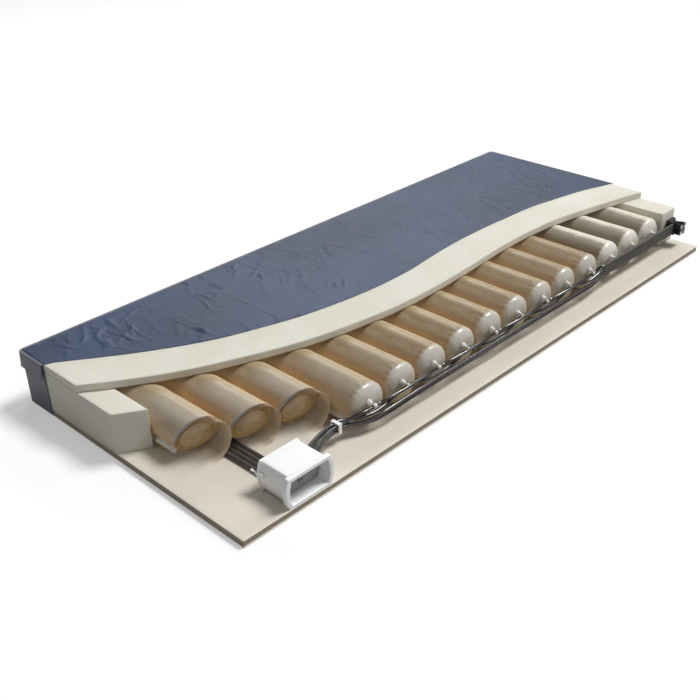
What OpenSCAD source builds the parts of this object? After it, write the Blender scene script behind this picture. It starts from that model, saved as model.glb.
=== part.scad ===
// Pressure relief mattress, sectioned: cover, foam layer, air cells, hoses and hose connector.
// X runs from the foot end to the head end, Y to the covered side, Z up from the floor face.
// The origin is the middle of the underside.

/* [Overall size] */
// Length of the base and the foam, without the cover
core_l = 2000; // [1960:10:2040]
// Width over the cover flap on one side and the open base edge on the other
mattress_w = 876; // [870:2:890]
// Height from the floor face to the top of the cover
mattress_h = 158; // [156:1:162]

/* [Base] */
// Thickness of the laminated base
base_t = 20; // [18:1:20]
// Thickness of each coated skin of the base
base_skin_t = 3; // [2:0.5:4]

/* [Foam] */
// Thickness of the foam layer over the cells
topper_t = 22; // [20:1:22]
// Length of the foam block at the foot end
foot_block_l = 75; // [70:1:75]
// Length of the foam block at the head end
head_block_l = 85; // [80:1:85]
// Thickness of the foam bolster on the covered side
bolster_t = 38; // [30:1:38]

/* [Cover] */
// Thickness of the coated cover fabric
cover_t = 2; // [1.5:0.5:2]
// Gap between the cover side and the zip flap
flap_gap = 4.4; // [4.4:0.1:6]
// Thickness of the zip flap
flap_t = 1.6; // [1:0.2:2]
// Depth of the zip flap
flap_h = 42; // [40:1:46]

/* [Air cells] */
// Gap between neighbouring cells
cell_gap = 9.2; // [8.8:0.1:10]
// Half length of a cell, to the tip of its domed end
cell_half = 344; // [340:1:344]
// Height of the domed end
dome_h = 17; // [14:1:20]
// Thickness of the cell film
film_t = 1.5; // [1:0.25:2]
// Radius of the inner cell
inner_r = 38; // [34:1:40]

/* [Hoses] */
// Outer diameter of the air hoses
hose_d = 9; // [8:0.5:9]
// Pitch of the hoses in a ribbon
ribbon_pitch = 10; // [10:0.25:10.5]
// Diameter of the tubes in the ribbon at the foot end
foot_tube_d = 12; // [11:0.5:12]
// Pitch of the tubes in the ribbon at the foot end
foot_pitch = 14.5; // [13.5:0.5:14.5]

/* [Hose connector] */
// Depth of the socket that takes the pump's plug
socket_d = 35; // [30:1:36]
// Radius of the three air ports in the socket
port_r = 4; // [3.5:0.25:4.5]
// Travel of the release pin
pin_travel = 5; // [3:0.5:6]

/* [Release valve] */
// Radius of the lobed knob over its lobes
knob_r = 25; // [22:0.5:25]
// Number of lobes on the knob
knob_lobes = 4; // [4:1:4]

/* [Hidden] */
half_l = core_l / 2;
near_y = -mattress_w / 2;
flap_y = mattress_w / 2;
side_y = flap_y - flap_t - flap_gap;
foam_y = side_y - cover_t;
side_x = half_l + cover_t;
flap_x = side_x + flap_gap + flap_t;
cover_z = mattress_h - cover_t;
block_z = cover_z - topper_t;
clear = 0.3;

cell_count = 15;
cut_count = 3;
amber_count = 12;
foot_x = -half_l + foot_block_l;
head_x = half_l - head_block_l;
cell_pitch = (head_x - foot_x) / cell_count;
cell_r = (cell_pitch - cell_gap) / 2;
cell_z = base_t + clear + cell_r;
dome_r = (cell_r * cell_r + dome_h * dome_h) / (2 * dome_h);
inner_half = cell_half - 16;
inner_z = cell_z - 5;
feed_y = -cell_half - 8;
feed_z = cell_z + 2;
lane_y = -364;
lane_z = 93;
port_dx = -15;
port_dz = 19;

function cell_x(k) = foot_x + (k - 0.5) * cell_pitch;
function two(k) = k < 10 ? str("0", k) : str(k);

// Where the three open cells are cut: Y of the cut plane on the axis, its lean and its turn.
cut_y = [-113, -172, -205];
cut_lean = 21;
cut_turn = 16;
// Where their clear end sleeves stop.
sleeve_y = [-176, -216, -262];

// Cut edge of the foam layer, from the foot end to the head end.
foam_edge = [
  [-1000, 174], [-930, 124], [-850, 72], [-750, 18], [-650, -24], [-540, -66], [-430, -98],
  [-300, -122], [-160, -138], [0, -140], [160, -131], [320, -118], [480, -116], [620, -126],
  [760, -153], [880, -180], [1000, -212]
];
// Cut edge of the cover on the top face, from the foot end to the head end.
cover_edge = [
  [-1002, 320], [-900, 252], [-800, 184], [-700, 126], [-600, 78], [-500, 44], [-400, 15],
  [-280, -9], [-150, -23], [0, -24], [130, -10], [260, 1], [390, 2], [510, -3], [630, -10],
  [750, -31], [870, -56], [1002, -94]
];

// Centre lines of the hoses, in their own order along the mattress.
hose_a_start = [
  [-748, -366, 70], [-722, -366, 70], [-690, -354, 71], [-650, -340, 69], [-618, -334, 68],
  [-594, -334, 68], [-565, -340, 73], [-537, -350, 78], [-515, -352, 79], [-507, -352, 79]
];
hose_a_end = [
  [497, -352, 79], [502, -352, 79], [508, -353, 85], [516, -358, 93], [524, -364, 93],
  [531, -364, 93]
];
hose_b_start = [
  [-748, -346, 70], [-722, -346, 70], [-690, -336, 70], [-650, -325, 69], [-618, -321, 68],
  [-594, -321, 68], [-575, -327, 67], [-545, -345, 66], [-515, -355, 66], [-475, -357, 67],
  [-430, -354, 74], [-394, -352, 79], [-385, -352, 79]
];
hose_b_end = [
  [375, -352, 79], [383, -352, 79], [404, -357, 76], [440, -362, 73], [470, -365, 76],
  [497, -365, 81], [523, -364, 83], [531, -364, 83]
];
static_in = [
  [-748, -366, 54], [-722, -366, 54], [-690, -354, 55], [-650, -340, 56], [-618, -334, 56],
  [-594, -334, 56], [-570, -341, 56], [-540, -356, 56], [-510, -366, 60], [-470, -372, 65],
  [-380, -372, 67], [380, -372, 67], [450, -372, 66], [490, -368, 70], [522, -364, 73],
  [531, -364, 73]
];
static_out = [
  [865, -352, 79], [873, -352, 79], [900, -349, 79], [930, -346, 79], [940, -346, 79],
  [949, -346, 79]
];
sensing_in = [
  [-748, -346, 54], [-722, -346, 54], [-690, -336, 55], [-650, -325, 56], [-618, -321, 56],
  [-594, -321, 56], [-570, -328, 52], [-540, -343, 46], [-510, -360, 47], [-470, -370, 53],
  [-380, -371, 56], [380, -371, 56], [450, -371, 56], [490, -368, 60], [522, -364, 63],
  [531, -364, 63]
];
// Where the four hoses leave the connector's side, and where the clip holds them: Y and Z of each.
hose_exits = [[-366, 70], [-346, 70], [-366, 54], [-346, 54]];
clip_sites = [[-334, 68], [-321, 68], [-334, 56], [-321, 56]];

// Hose connector: its middle, its front and back, its levels and the depth of its front flange.
con_x = -797;
con_front = -436;
con_rear = -331;
con_z0 = base_t;
con_z1 = 102;
con_flange = 12;

// Release valve at the head end.
cpr_x = 971;
cpr_z = 78;
cpr_back = -352;
cpr_front = -373;

// Far side air line, which feeds the inner cells.
far_y = cell_half + 8;

module slab(x0, x1, y0, y1, z0, z1) {
  translate([x0, y0, z0]) cube([x1 - x0, y1 - y0, z1 - z0]);
}

// A cylinder from one point along Y.
module rod_y(p, r, length, fn = 48) {
  translate(p) rotate([-90, 0, 0]) cylinder(r = r, h = length, $fn = fn);
}

// A cylinder from one point along X.
module rod_x(p, r, length, fn = 48) {
  translate(p) rotate([0, 90, 0]) cylinder(r = r, h = length, $fn = fn);
}

function unit(v) = v / norm(v);
function heading(p, i) = unit(p[min(i + 1, len(p) - 1)] - p[max(i - 1, 0)]);
function side_of(t) = unit(cross(t, abs(t[2]) > 0.9 ? [1, 0, 0] : [0, 0, 1]));

// A hose swept along points, as one closed mesh.
module hose(p, d, sides = 8) {
  n = len(p);
  points = [
    for (i = [0:n - 1])
      let (t = heading(p, i), u = side_of(t), v = cross(t, u))
        for (j = [0:sides - 1])
          p[i] + d / 2 * (cos(360 * j / sides) * u + sin(360 * j / sides) * v)
  ];
  walls = [
    for (i = [0:n - 2])
      for (j = [0:sides - 1])
        [i * sides + j, i * sides + (j + 1) % sides,
         (i + 1) * sides + (j + 1) % sides, (i + 1) * sides + j]
  ];
  first = [for (j = [0:sides - 1]) sides - 1 - j];
  last = [for (j = [0:sides - 1]) (n - 1) * sides + j];
  polyhedron(points = points, faces = concat([first], walls, [last]));
}

// ---- base -------------------------------------------------------------------------------

module base_bottom_skin() {
  color("gainsboro") slab(-half_l, half_l, near_y, foam_y, 0, base_skin_t);
}

module base_foam_sheet() {
  color("lightgray")
    slab(-half_l, half_l, near_y + 2, foam_y, base_skin_t, base_t - base_skin_t);
}

module base_top_skin() {
  color("antiquewhite") slab(-half_l, half_l, near_y, foam_y, base_t - base_skin_t, base_t);
}

// ---- foam -------------------------------------------------------------------------------

// The foot block's cut face runs a little askew.
foot_cut_out = 30;
foot_cut_in = -17;

module foot_foam_block() {
  color("antiquewhite") translate([0, 0, base_t]) linear_extrude(block_z - base_t)
    polygon([[-half_l, foot_cut_out], [foot_x, foot_cut_in], [foot_x, foam_y], [-half_l, foam_y]]);
}

module head_foam_block() {
  color("antiquewhite") slab(head_x, half_l, -340, foam_y, base_t, block_z);
}

module side_foam_bolster() {
  color("antiquewhite") slab(foot_x, head_x, foam_y - bolster_t, foam_y, base_t, block_z);
}

module foam_topper() {
  color("ivory") translate([0, 0, block_z]) linear_extrude(topper_t)
    polygon(concat(foam_edge, [[half_l, foam_y], [-half_l, foam_y]]));
}

// ---- cover ------------------------------------------------------------------------------

// Where the cover's cut meets the foot border and the head border.
cover_foot_y = 320;
cover_head_y = -94;
border_z = 3;

module cover_top_panel() {
  color("slategray") translate([0, 0, cover_z]) linear_extrude(cover_t)
    polygon(concat(cover_edge, [[side_x, side_y], [-side_x, side_y]]));
}

module cover_side_border() {
  color("slategray") slab(-side_x, side_x, foam_y, side_y, border_z, cover_z);
}

module cover_foot_border() {
  color("slategray") slab(-side_x, -half_l, cover_foot_y, foam_y, border_z, cover_z);
}

module cover_head_border() {
  color("slategray") slab(half_l, side_x, cover_head_y, foam_y, border_z, cover_z);
}

flap_z1 = mattress_h - 2;
flap_z0 = mattress_h - 3 - flap_h;
// Depth of the hem that joins the flap to the border.
flap_hem = 6;

module cover_flap_side() {
  color("slategray") {
    slab(-side_x, side_x, flap_y - flap_t, flap_y, flap_z0, flap_z1);
    slab(-side_x, side_x, side_y, flap_y - flap_t, flap_z1 - flap_hem, flap_z1);
  }
}

module cover_flap_foot() {
  color("slategray") {
    slab(-flap_x, -flap_x + flap_t, cover_foot_y, flap_y, flap_z0, flap_z1);
    slab(-flap_x + flap_t, -side_x, cover_foot_y, flap_y, flap_z1 - flap_hem, flap_z1);
  }
}

module cover_flap_head() {
  color("slategray") {
    slab(flap_x - flap_t, flap_x, cover_head_y, flap_y, flap_z0, flap_z1);
    slab(side_x, flap_x - flap_t, cover_head_y, flap_y, flap_z1 - flap_hem, flap_z1);
  }
}

zip_z = 127;
zip_half = 950;
coil_r = 1.4;

module zip_tape() {
  color("dimgray") slab(-zip_half, zip_half, side_y, side_y + 0.6, zip_z - 13, zip_z + 13);
}

module zip_coil() {
  color("black")
    slab(-zip_half, zip_half, side_y + 0.6, side_y + 0.6 + coil_r, zip_z - 3, zip_z + 3);
}

slider_x = -920;
slider_l = 16;

// The slider straddles the coil and has a short bridge for its pull.
module zip_slider() {
  y0 = side_y + 0.9;
  color("silver") {
    difference() {
      slab(slider_x, slider_x + slider_l, y0, y0 + 2.8, zip_z - 6, zip_z + 6);
      slab(slider_x - 1, slider_x + slider_l + 1, y0 - 1, y0 + 1.4, zip_z - 3.4, zip_z + 3.4);
    }
    slab(slider_x + 4, slider_x + 12, y0, y0 + 2, zip_z - 26, zip_z - 6);
  }
}

// ---- air cells --------------------------------------------------------------------------

// A round bag along Y with a domed film end at both ends.
module bag(r, half, dome) {
  ball_r = (r * r + dome * dome) / (2 * dome);
  rod_y([0, dome - half, 0], r, 2 * (half - dome), 96);
  for (s = [-1, 1])
    intersection() {
      translate([0, s * (half - ball_r), 0]) sphere(r = ball_r, $fn = 96);
      rod_y([0, s * (half - dome / 2) - dome / 2, 0], r, dome, 96);
    }
}

module film_bag(r, half, dome) {
  difference() {
    bag(r, half, dome);
    bag(r - film_t, half - film_t, dome);
  }
}

// Everything on the near side of a leaning cut through the cell's axis.
module near_side(y, extra = 0) {
  translate([0, y, 0]) rotate([cut_lean, 0, -cut_turn])
    translate([-400, extra - 700, -400]) cube([800, 700, 800]);
}

module air_cell(k) {
  color(k <= amber_count ? "tan" : "linen")
    translate([cell_x(k), 0, cell_z])
      difference() {
        film_bag(cell_r, cell_half, dome_h);
        if (k <= cut_count) near_side(cut_y[k - 1]);
      }
}

module inner_cell(k) {
  color("goldenrod") translate([cell_x(k), 0, inner_z])
    difference() {
      film_bag(inner_r, inner_half, 14);
      near_side(cut_y[k - 1], -3);
    }
}

module inner_cells_closed() {
  color("goldenrod") for (k = [cut_count + 1:amber_count])
    translate([cell_x(k), 0, inner_z]) film_bag(inner_r, inner_half, 14);
}

// The open cells' removed ends, as clear film sleeves past the cuts.
module clear_sleeves() {
  color("wheat", 0.4) for (k = [1:cut_count]) translate([cell_x(k), 0, cell_z])
    difference() {
      intersection() {
        rod_y([0, sleeve_y[k - 1], 0], cell_r, 240, 96);
        near_side(cut_y[k - 1], -clear);
      }
      rod_y([0, sleeve_y[k - 1] - 1, 0], cell_r - film_t, 242, 96);
    }
}

flange_w = 11;
flange_turn = 35;

// The film's weld flange, a flat fin low on the foot side of each cell.
module cell_weld_flanges() {
  color("white") for (k = [1:cell_count]) {
    y0 = k <= cut_count ? cut_y[k - 1] + 20 : dome_h + 4 - cell_half;
    translate([cell_x(k), 0, cell_z]) rotate([0, -flange_turn, 0])
      slab(-cell_r - flange_w, -cell_r - 0.1, y0, cell_half - dome_h - 4, -0.8, 0.8);
  }
}

// ---- ports and hoses --------------------------------------------------------------------

closed_cells = [for (k = [cut_count + 1:cell_count]) k];

// An elbow on the cell's end: a flange bonded to the dome and a short nipple.
module cell_ports() {
  color("white") for (k = closed_cells) {
    translate([cell_x(k) + port_dx, 0, cell_z + port_dz]) {
      difference() {
        rod_y([0, -cell_half - 2, 0], 8, 6);
        translate([-port_dx, dome_r - cell_half, -port_dz]) sphere(r = dome_r + 0.1, $fn = 96);
      }
      rod_y([0, -cell_half - 9, 0], 4.5, 7);
      translate([0, -cell_half - 9, 0]) sphere(r = 4.5, $fn = 48);
    }
  }
}

link_len = norm([port_dx, 0, port_dz + cell_z - feed_z]);
link_turn = atan2(-port_dx, port_dz + cell_z - feed_z);

// A short clear tube from the port down to the T-connector.
module port_links() {
  color("khaki") for (k = closed_cells)
    translate([cell_x(k), feed_y - 1, feed_z]) rotate([0, -link_turn, 0])
      translate([0, 0, 9]) cylinder(r = 3.2, h = link_len - 9 - 4.8, $fn = 32);
}

t_arm = 11;

module t_connectors() {
  color("white") for (k = closed_cells) {
    translate([cell_x(k), feed_y, feed_z]) {
      rod_x([-t_arm, 0, 0], 4, 2 * t_arm);
      rod_x([-5, 0, 0], 5.5, 10);
      translate([0, -1, 0]) rotate([0, -link_turn, 0]) cylinder(r = 4.2, h = 9, $fn = 48);
    }
  }
}

// From one T-connector to the next but one, over or under the one between.
function skip_line(k, y, z) = [
  [cell_x(k) + t_arm + clear, feed_y, feed_z],
  [cell_x(k) + t_arm + 8, feed_y, feed_z],
  [cell_x(k) + 42, (feed_y + y) / 2, (feed_z + z) / 2],
  [cell_x(k + 1) - 30, y, z],
  [cell_x(k + 1) + 30, y, z],
  [cell_x(k + 2) - 42, (feed_y + y) / 2, (feed_z + z) / 2],
  [cell_x(k + 2) - t_arm - 8, feed_y, feed_z],
  [cell_x(k + 2) - t_arm - clear, feed_y, feed_z]
];

over_z = feed_z + 8;
over_y = feed_y - 12;
under_z = feed_z - 12;
under_y = feed_y - 5;

module feed_hose_a() {
  color("black") {
    hose(hose_a_start, hose_d);
    for (k = [4:2:10]) hose(skip_line(k, over_y, over_z), hose_d);
    hose(hose_a_end, hose_d);
  }
}

module feed_hose_b() {
  color("black") {
    hose(hose_b_start, hose_d);
    for (k = [5:2:9]) hose(skip_line(k, under_y, under_z), hose_d);
    hose(hose_b_end, hose_d);
  }
}

// The static line, and the links between the T-connectors of the static cells.
module static_hose() {
  color("black") {
    hose(static_in, hose_d);
    for (k = [amber_count + 1:cell_count - 1])
      hose([[cell_x(k) + t_arm + clear, feed_y, feed_z],
            [cell_x(k + 1) - t_arm - clear, feed_y, feed_z]], hose_d);
    hose(static_out, hose_d);
  }
}

module sensing_hose() {
  color("black") hose(sensing_in, hose_d);
}

// ---- hose clip --------------------------------------------------------------------------

clip_x = -606;
clip_w = 10;

module hose_clip() {
  color("white") difference() {
    slab(clip_x - clip_w / 2, clip_x + clip_w / 2, -342, -313, 48, 76);
    for (p = clip_sites) rod_x([clip_x - clip_w, p[0], p[1]], hose_d / 2 + 0.7, 2 * clip_w);
  }
}

// ---- ribbons ----------------------------------------------------------------------------

foot_ribbon_z = base_t + foot_tube_d / 2 + clear;
foot_bore_r = foot_tube_d / 2 - 2;
valley_x = (cell_x(1) + cell_x(2)) / 2;
ribbon_end_y = 340;

// Four tubes with a thin web, lying in the valley between the first two cells.
module foot_ribbon() {
  color("dimgray") translate([valley_x, con_rear, foot_ribbon_z]) rotate([-90, 0, 0])
    linear_extrude(ribbon_end_y - con_rear) {
      for (i = [-1.5:1:1.5]) translate([i * foot_pitch, 0]) circle(d = foot_tube_d, $fn = 32);
      translate([-1.5 * foot_pitch, -1.5]) square([3 * foot_pitch, 3]);
    }
}

// The four hoses side by side up the cell ends, joined by a web, into the release valve.
module head_ribbon() {
  x0 = 531.5;
  color("dimgray") translate([x0, lane_y, lane_z - 1.5 * ribbon_pitch]) rotate([90, 0, 90])
    linear_extrude(cpr_x - cpr_r - x0) {
      for (i = [-1.5:1:1.5]) translate([0, i * ribbon_pitch]) circle(d = hose_d, $fn = 32);
      translate([-2, -1.5 * ribbon_pitch]) square([4, 3 * ribbon_pitch]);
    }
}

// ---- hose connector ---------------------------------------------------------------------

// A barrel outline: flat top and bottom, bowed sides.
module barrel(half_top, half_mid, z0, z1) {
  rise = (z1 - z0) / 2;
  bow = half_mid - half_top;
  side_r = (rise * rise + bow * bow) / (2 * bow);
  translate([0, z0 + rise]) intersection() {
    translate([-half_mid, -rise]) square([2 * half_mid, 2 * rise]);
    translate([half_mid - side_r, 0]) circle(r = side_r, $fn = 128);
    translate([side_r - half_mid, 0]) circle(r = side_r, $fn = 128);
  }
}

// A barrel shape from one Y to another.
module barrel_y(y0, y1, half_top, half_mid, z0, z1) {
  translate([con_x, y1, 0]) rotate([90, 0, 0]) linear_extrude(y1 - y0)
    barrel(half_top, half_mid, z0, z1);
}

socket_back = con_front + socket_d;
socket_z0 = con_z0 + 7;
socket_z1 = con_z1 - 11;
block_t = 5;
pin_x = con_x - 68;
pin_z = 72;
pin_r = 2.2;
wall = 3;
rim_t = 8;
lug_r = 5;
lug_l = 24;

module connector_housing() {
  color("white") difference() {
    union() {
      barrel_y(con_front, con_front + con_flange, 65, 76, con_z0, con_z1);
      barrel_y(con_front + con_flange, con_rear - rim_t, 55, 66, con_z0 + 3, con_z1 - 1);
      barrel_y(con_rear - rim_t, con_rear, 59, 69, con_z0, con_z1 + 1);
      rod_y([pin_x, con_rear - lug_l, pin_z], lug_r, lug_l);
    }
    barrel_y(con_front - 1, socket_back + block_t + 0.2, 55, 62, socket_z0, socket_z1);
    barrel_y(socket_back + block_t, con_rear - wall, 53, 60, socket_z0 + 1, socket_z1 - 1);
    for (i = [-1.5:1:1.5])
      rod_y([valley_x + i * foot_pitch, con_rear - wall - 6, foot_ribbon_z], foot_bore_r, 20);
    for (p = hose_exits) rod_x([con_x + 50, p[0], p[1]], hose_d / 2 + clear, 40);
    rod_y([pin_x, con_rear - lug_l + 4, pin_z], pin_r + 0.08, lug_l);
  }
}

// Air ports in the socket's back wall: middle position and height of each.
port_sites = [[con_x - 30, 62], [con_x, 54], [con_x + 30, 62]];
boss_r = 7.5;
boss_l = 6;

module connector_port_block() {
  color("gray") difference() {
    union() {
      barrel_y(socket_back, socket_back + block_t, 54.7, 61.7, socket_z0 + clear, socket_z1 - clear);
      for (p = port_sites) rod_y([p[0], socket_back - boss_l, p[1]], boss_r, boss_l + block_t + 8);
    }
    for (p = port_sites) rod_y([p[0], socket_back - boss_l - 1, p[1]], port_r, 40);
    for (p = port_sites)
      translate([p[0], socket_back - 3, p[1]]) rotate([-90, 0, 0])
        rotate_extrude($fn = 64) translate([boss_r, 0]) circle(r = 1.2, $fn = 24);
  }
}

module port_seals() {
  color("black") for (p = port_sites)
    translate([p[0], socket_back - 3, p[1]]) rotate([-90, 0, 0])
      rotate_extrude($fn = 64) translate([boss_r, 0]) circle(r = 1.1, $fn = 24);
}

pin_out = 14;
pin_in = lug_l - 4 - pin_travel - 1;

// A plain pin with a round head, standing out behind the housing.
module release_pin() {
  color("white") {
    rod_y([pin_x, con_rear - pin_in, pin_z], pin_r, pin_in + pin_out);
    rod_y([pin_x, con_rear + pin_out, pin_z], 3.4, 4);
  }
}

// ---- release valve ----------------------------------------------------------------------

cpr_r = 21.5;
spindle_r = 6;

module cpr_plate() {
  color("dimgray") slab(cpr_x - 21, cpr_x + 21, cpr_back, -340, cpr_z - 24, cpr_z + 24);
}

// A round valve body with a square inlet for the ribbon.
module cpr_body() {
  color("black") difference() {
    union() {
      rod_y([cpr_x, cpr_front, cpr_z], cpr_r, cpr_back - cpr_front, 96);
      slab(cpr_x - cpr_r, cpr_x, cpr_front + 3, cpr_back - 2, cpr_z - cpr_r, cpr_z + cpr_r);
    }
    rod_y([cpr_x, cpr_front - 1, cpr_z], spindle_r + 0.05, 15, 64);
  }
}

knob_y0 = -391;
knob_y1 = cpr_front - 0.5;
lobe_r = 9;
vent_r = 4;

// Angle of each lobe, the first one pointing up and out.
function lobe_at(i) = 45 + i * 360 / knob_lobes;
function lobe_place(i) = [
  cpr_x + (knob_r - lobe_r) * cos(lobe_at(i)), 0, cpr_z + (knob_r - lobe_r) * sin(lobe_at(i))
];

module cpr_knob() {
  color("black") difference() {
    union() {
      rod_y([cpr_x, knob_y0, cpr_z], 15, knob_y1 - knob_y0, 64);
      for (i = [0:knob_lobes - 1])
        rod_y(lobe_place(i) + [0, knob_y0, 0], lobe_r, knob_y1 - knob_y0, 48);
    }
    for (i = [0:knob_lobes - 1])
      rod_y(lobe_place(i) + [0, knob_y0 - 1, 0], vent_r + 1.2, 9, 48);
    rod_y([cpr_x, knob_y1 - 8, cpr_z], spindle_r, 20, 64);
  }
}

// The spindle is fixed in the knob and turns in the valve body.
module cpr_spindle() {
  color("gray") rod_y([cpr_x, knob_y1 - 8, cpr_z], spindle_r, 8 + 0.5 + 13, 64);
}

module cpr_tube_ends() {
  color("white") for (i = [0:knob_lobes - 1])
    difference() {
      rod_y(lobe_place(i) + [0, knob_y0 - 1.5, 0], vent_r + 1.2, 9.5, 48);
      rod_y(lobe_place(i) + [0, knob_y0 - 3, 0], vent_r - 0.5, 9, 48);
    }
}

// ---- far side ---------------------------------------------------------------------------

manifold_h = 16;

// The foot ribbon ends at this block, which feeds the inner cells from the far side.
module far_manifold() {
  color("white") difference() {
    slab(valley_x - 36, valley_x + 36, ribbon_end_y, ribbon_end_y + 34,
         base_t, base_t + manifold_h);
    for (i = [-1.5:1:1.5])
      rod_y([valley_x + i * foot_pitch, ribbon_end_y - 1, foot_ribbon_z], foot_bore_r, 13);
  }
}

// A straight feed pipe past the far ends of the amber cells, with a riser from the manifold.
module inner_feed_line() {
  x0 = cell_x(1) - 12;
  color("dimgray") {
    rod_x([x0, far_y, inner_z], hose_d / 2, cell_x(amber_count) + 12 - x0, 32);
    translate([valley_x, far_y, base_t + manifold_h + clear])
      cylinder(d = hose_d, h = inner_z - base_t - manifold_h - clear, $fn = 32);
  }
}

// A flange on each amber cell's far end, with a nipple up to the feed pipe.
module inner_ports() {
  pipe_y = far_y - hose_d / 2;
  color("white") for (k = [1:amber_count])
    translate([cell_x(k), 0, inner_z]) {
      rod_y([0, cell_half + 0.1, 0], 7, 1.6);
      rod_y([0, cell_half + 1.7, 0], 3, pipe_y - cell_half - 1.8);
    }
}

base_bottom_skin();
base_foam_sheet();
base_top_skin();
foot_foam_block();
head_foam_block();
side_foam_bolster();
foam_topper();
cover_top_panel();
cover_side_border();
cover_foot_border();
cover_head_border();
cover_flap_side();
cover_flap_foot();
cover_flap_head();
zip_tape();
zip_coil();
zip_slider();
for (k = [1:cell_count]) air_cell(k);
for (k = [1:cut_count]) inner_cell(k);
clear_sleeves();
inner_cells_closed();
cell_weld_flanges();
cell_ports();
port_links();
t_connectors();
feed_hose_a();
feed_hose_b();
static_hose();
sensing_hose();
hose_clip();
foot_ribbon();
head_ribbon();
connector_housing();
connector_port_block();
port_seals();
release_pin();
cpr_plate();
cpr_body();
cpr_knob();
cpr_spindle();
cpr_tube_ends();
far_manifold();
inner_feed_line();
inner_ports();
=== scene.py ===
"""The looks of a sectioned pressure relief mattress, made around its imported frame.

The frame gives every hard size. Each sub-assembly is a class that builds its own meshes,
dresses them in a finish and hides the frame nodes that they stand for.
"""

import logging
import math
from dataclasses import dataclass, field
from enum import Enum
from typing import Any, Callable, Sequence

import bmesh
import bpy
import numpy as np
from mathutils import Matrix, Vector


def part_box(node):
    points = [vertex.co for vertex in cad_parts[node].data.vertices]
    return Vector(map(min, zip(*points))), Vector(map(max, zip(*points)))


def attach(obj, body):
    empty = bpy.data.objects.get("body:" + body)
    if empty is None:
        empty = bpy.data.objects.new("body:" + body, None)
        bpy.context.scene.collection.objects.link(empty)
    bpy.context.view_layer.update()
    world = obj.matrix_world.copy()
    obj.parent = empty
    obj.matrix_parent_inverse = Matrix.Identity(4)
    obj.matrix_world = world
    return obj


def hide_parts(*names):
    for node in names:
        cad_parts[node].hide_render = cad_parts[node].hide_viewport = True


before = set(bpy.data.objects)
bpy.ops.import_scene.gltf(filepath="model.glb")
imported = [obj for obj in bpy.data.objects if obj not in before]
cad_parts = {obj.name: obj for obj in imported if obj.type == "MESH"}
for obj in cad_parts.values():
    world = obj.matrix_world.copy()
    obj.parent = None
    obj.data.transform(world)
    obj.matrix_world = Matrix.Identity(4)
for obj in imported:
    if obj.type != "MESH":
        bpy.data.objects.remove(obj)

LOG = logging.getLogger("mattress")
MM = 0.001
ROOT = "root"
Colour = tuple[float, float, float]
Rings = list[np.ndarray]
Profile = Sequence[tuple[float, float]]


# ---- small tools ------------------------------------------------------------------------


def shade(red: int, green: int, blue: int) -> Colour:
    """A display colour, 0 to 255 a channel, as linear light."""
    return tuple(((c / 255 + 0.055) / 1.055) ** 2.4 if c > 10 else c / 3295 for c in (red, green, blue))


def ripple(points: np.ndarray, size: float, seed: int) -> np.ndarray:
    """Smooth uneven heights over some points.

    Args:
        points: The points, one a row.
        size: Length of the longest swell, in metres.
        seed: Picks the pattern.

    Returns:
        One height a point, about -1 to 1.
    """
    rng = np.random.default_rng(seed)
    total = np.zeros(len(points))
    for octave in range(3):
        for _ in range(4):
            way = rng.normal(size=3)
            way *= math.tau * 2**octave / size / np.linalg.norm(way)
            total += np.sin(points @ way + rng.uniform(0, math.tau)) / 2**octave
    return total / 4


def smooth_path(points: Sequence[Sequence[float]], step: float) -> np.ndarray:
    """A smooth curve through some points (centripetal Catmull-Rom).

    Args:
        points: The points to pass through.
        step: Rough distance between the curve's own points.

    Returns:
        The curve's points, one a row.
    """
    p = np.asarray(points, float)
    p = np.vstack([2 * p[0] - p[1], p, 2 * p[-1] - p[-2]])
    knots = np.concatenate([[0], np.cumsum(np.linalg.norm(np.diff(p, axis=0), axis=1) ** 0.5)])
    out = []
    for i in range(1, len(p) - 2):
        t0, t1, t2, t3 = knots[i - 1 : i + 3]
        count = max(2, math.ceil(np.linalg.norm(p[i + 1] - p[i]) / step))
        for t in np.linspace(t1, t2, count, endpoint=False):
            a1 = p[i - 1] + (p[i] - p[i - 1]) * (t - t0) / (t1 - t0)
            a2 = p[i] + (p[i + 1] - p[i]) * (t - t1) / (t2 - t1)
            a3 = p[i + 1] + (p[i + 2] - p[i + 1]) * (t - t2) / (t3 - t2)
            b1 = a1 + (a2 - a1) * (t - t0) / (t2 - t0)
            b2 = a2 + (a3 - a2) * (t - t1) / (t3 - t1)
            out.append(b1 + (b2 - b1) * (t - t1) / (t2 - t1))
    out.append(p[-2])
    return np.array(out)


def lathe(
    profile: Profile, start: Sequence[float], along: Sequence[float], sides: int = 32
) -> Rings:
    """Rings of a turned shape.

    Args:
        profile: Distance along the axis and radius, pair by pair.
        start: Where the axis starts.
        along: The axis direction.
        sides: Points on each ring.

    Returns:
        One ring of points for each pair.
    """
    axis = Vector(along).normalized()
    side = axis.orthogonal().normalized()
    other = axis.cross(side)
    turn = np.linspace(0, math.tau, sides, endpoint=False)
    flat = np.outer(np.cos(turn), side) + np.outer(np.sin(turn), other)
    base, way = np.array(start, float), np.array(axis)
    return [base + way * t + flat * r for t, r in profile]


def turned(
    profile: Profile, start: Sequence[float], along: Sequence[float], sides: int = 32
) -> Rings:
    """Rings of a turned shape whose profile is in mm and whose start is in metres."""
    return lathe([(t * MM, r * MM) for t, r in profile], start, along, sides)


@dataclass(frozen=True)
class Box:
    """The box of a frame node, in metres."""

    low: Vector
    high: Vector

    @classmethod
    def of(cls, node: str) -> "Box":
        """The box of the named node."""
        return cls(*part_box(node))

    @property
    def middle(self) -> Vector:
        """The box's middle."""
        return (self.low + self.high) / 2


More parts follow.
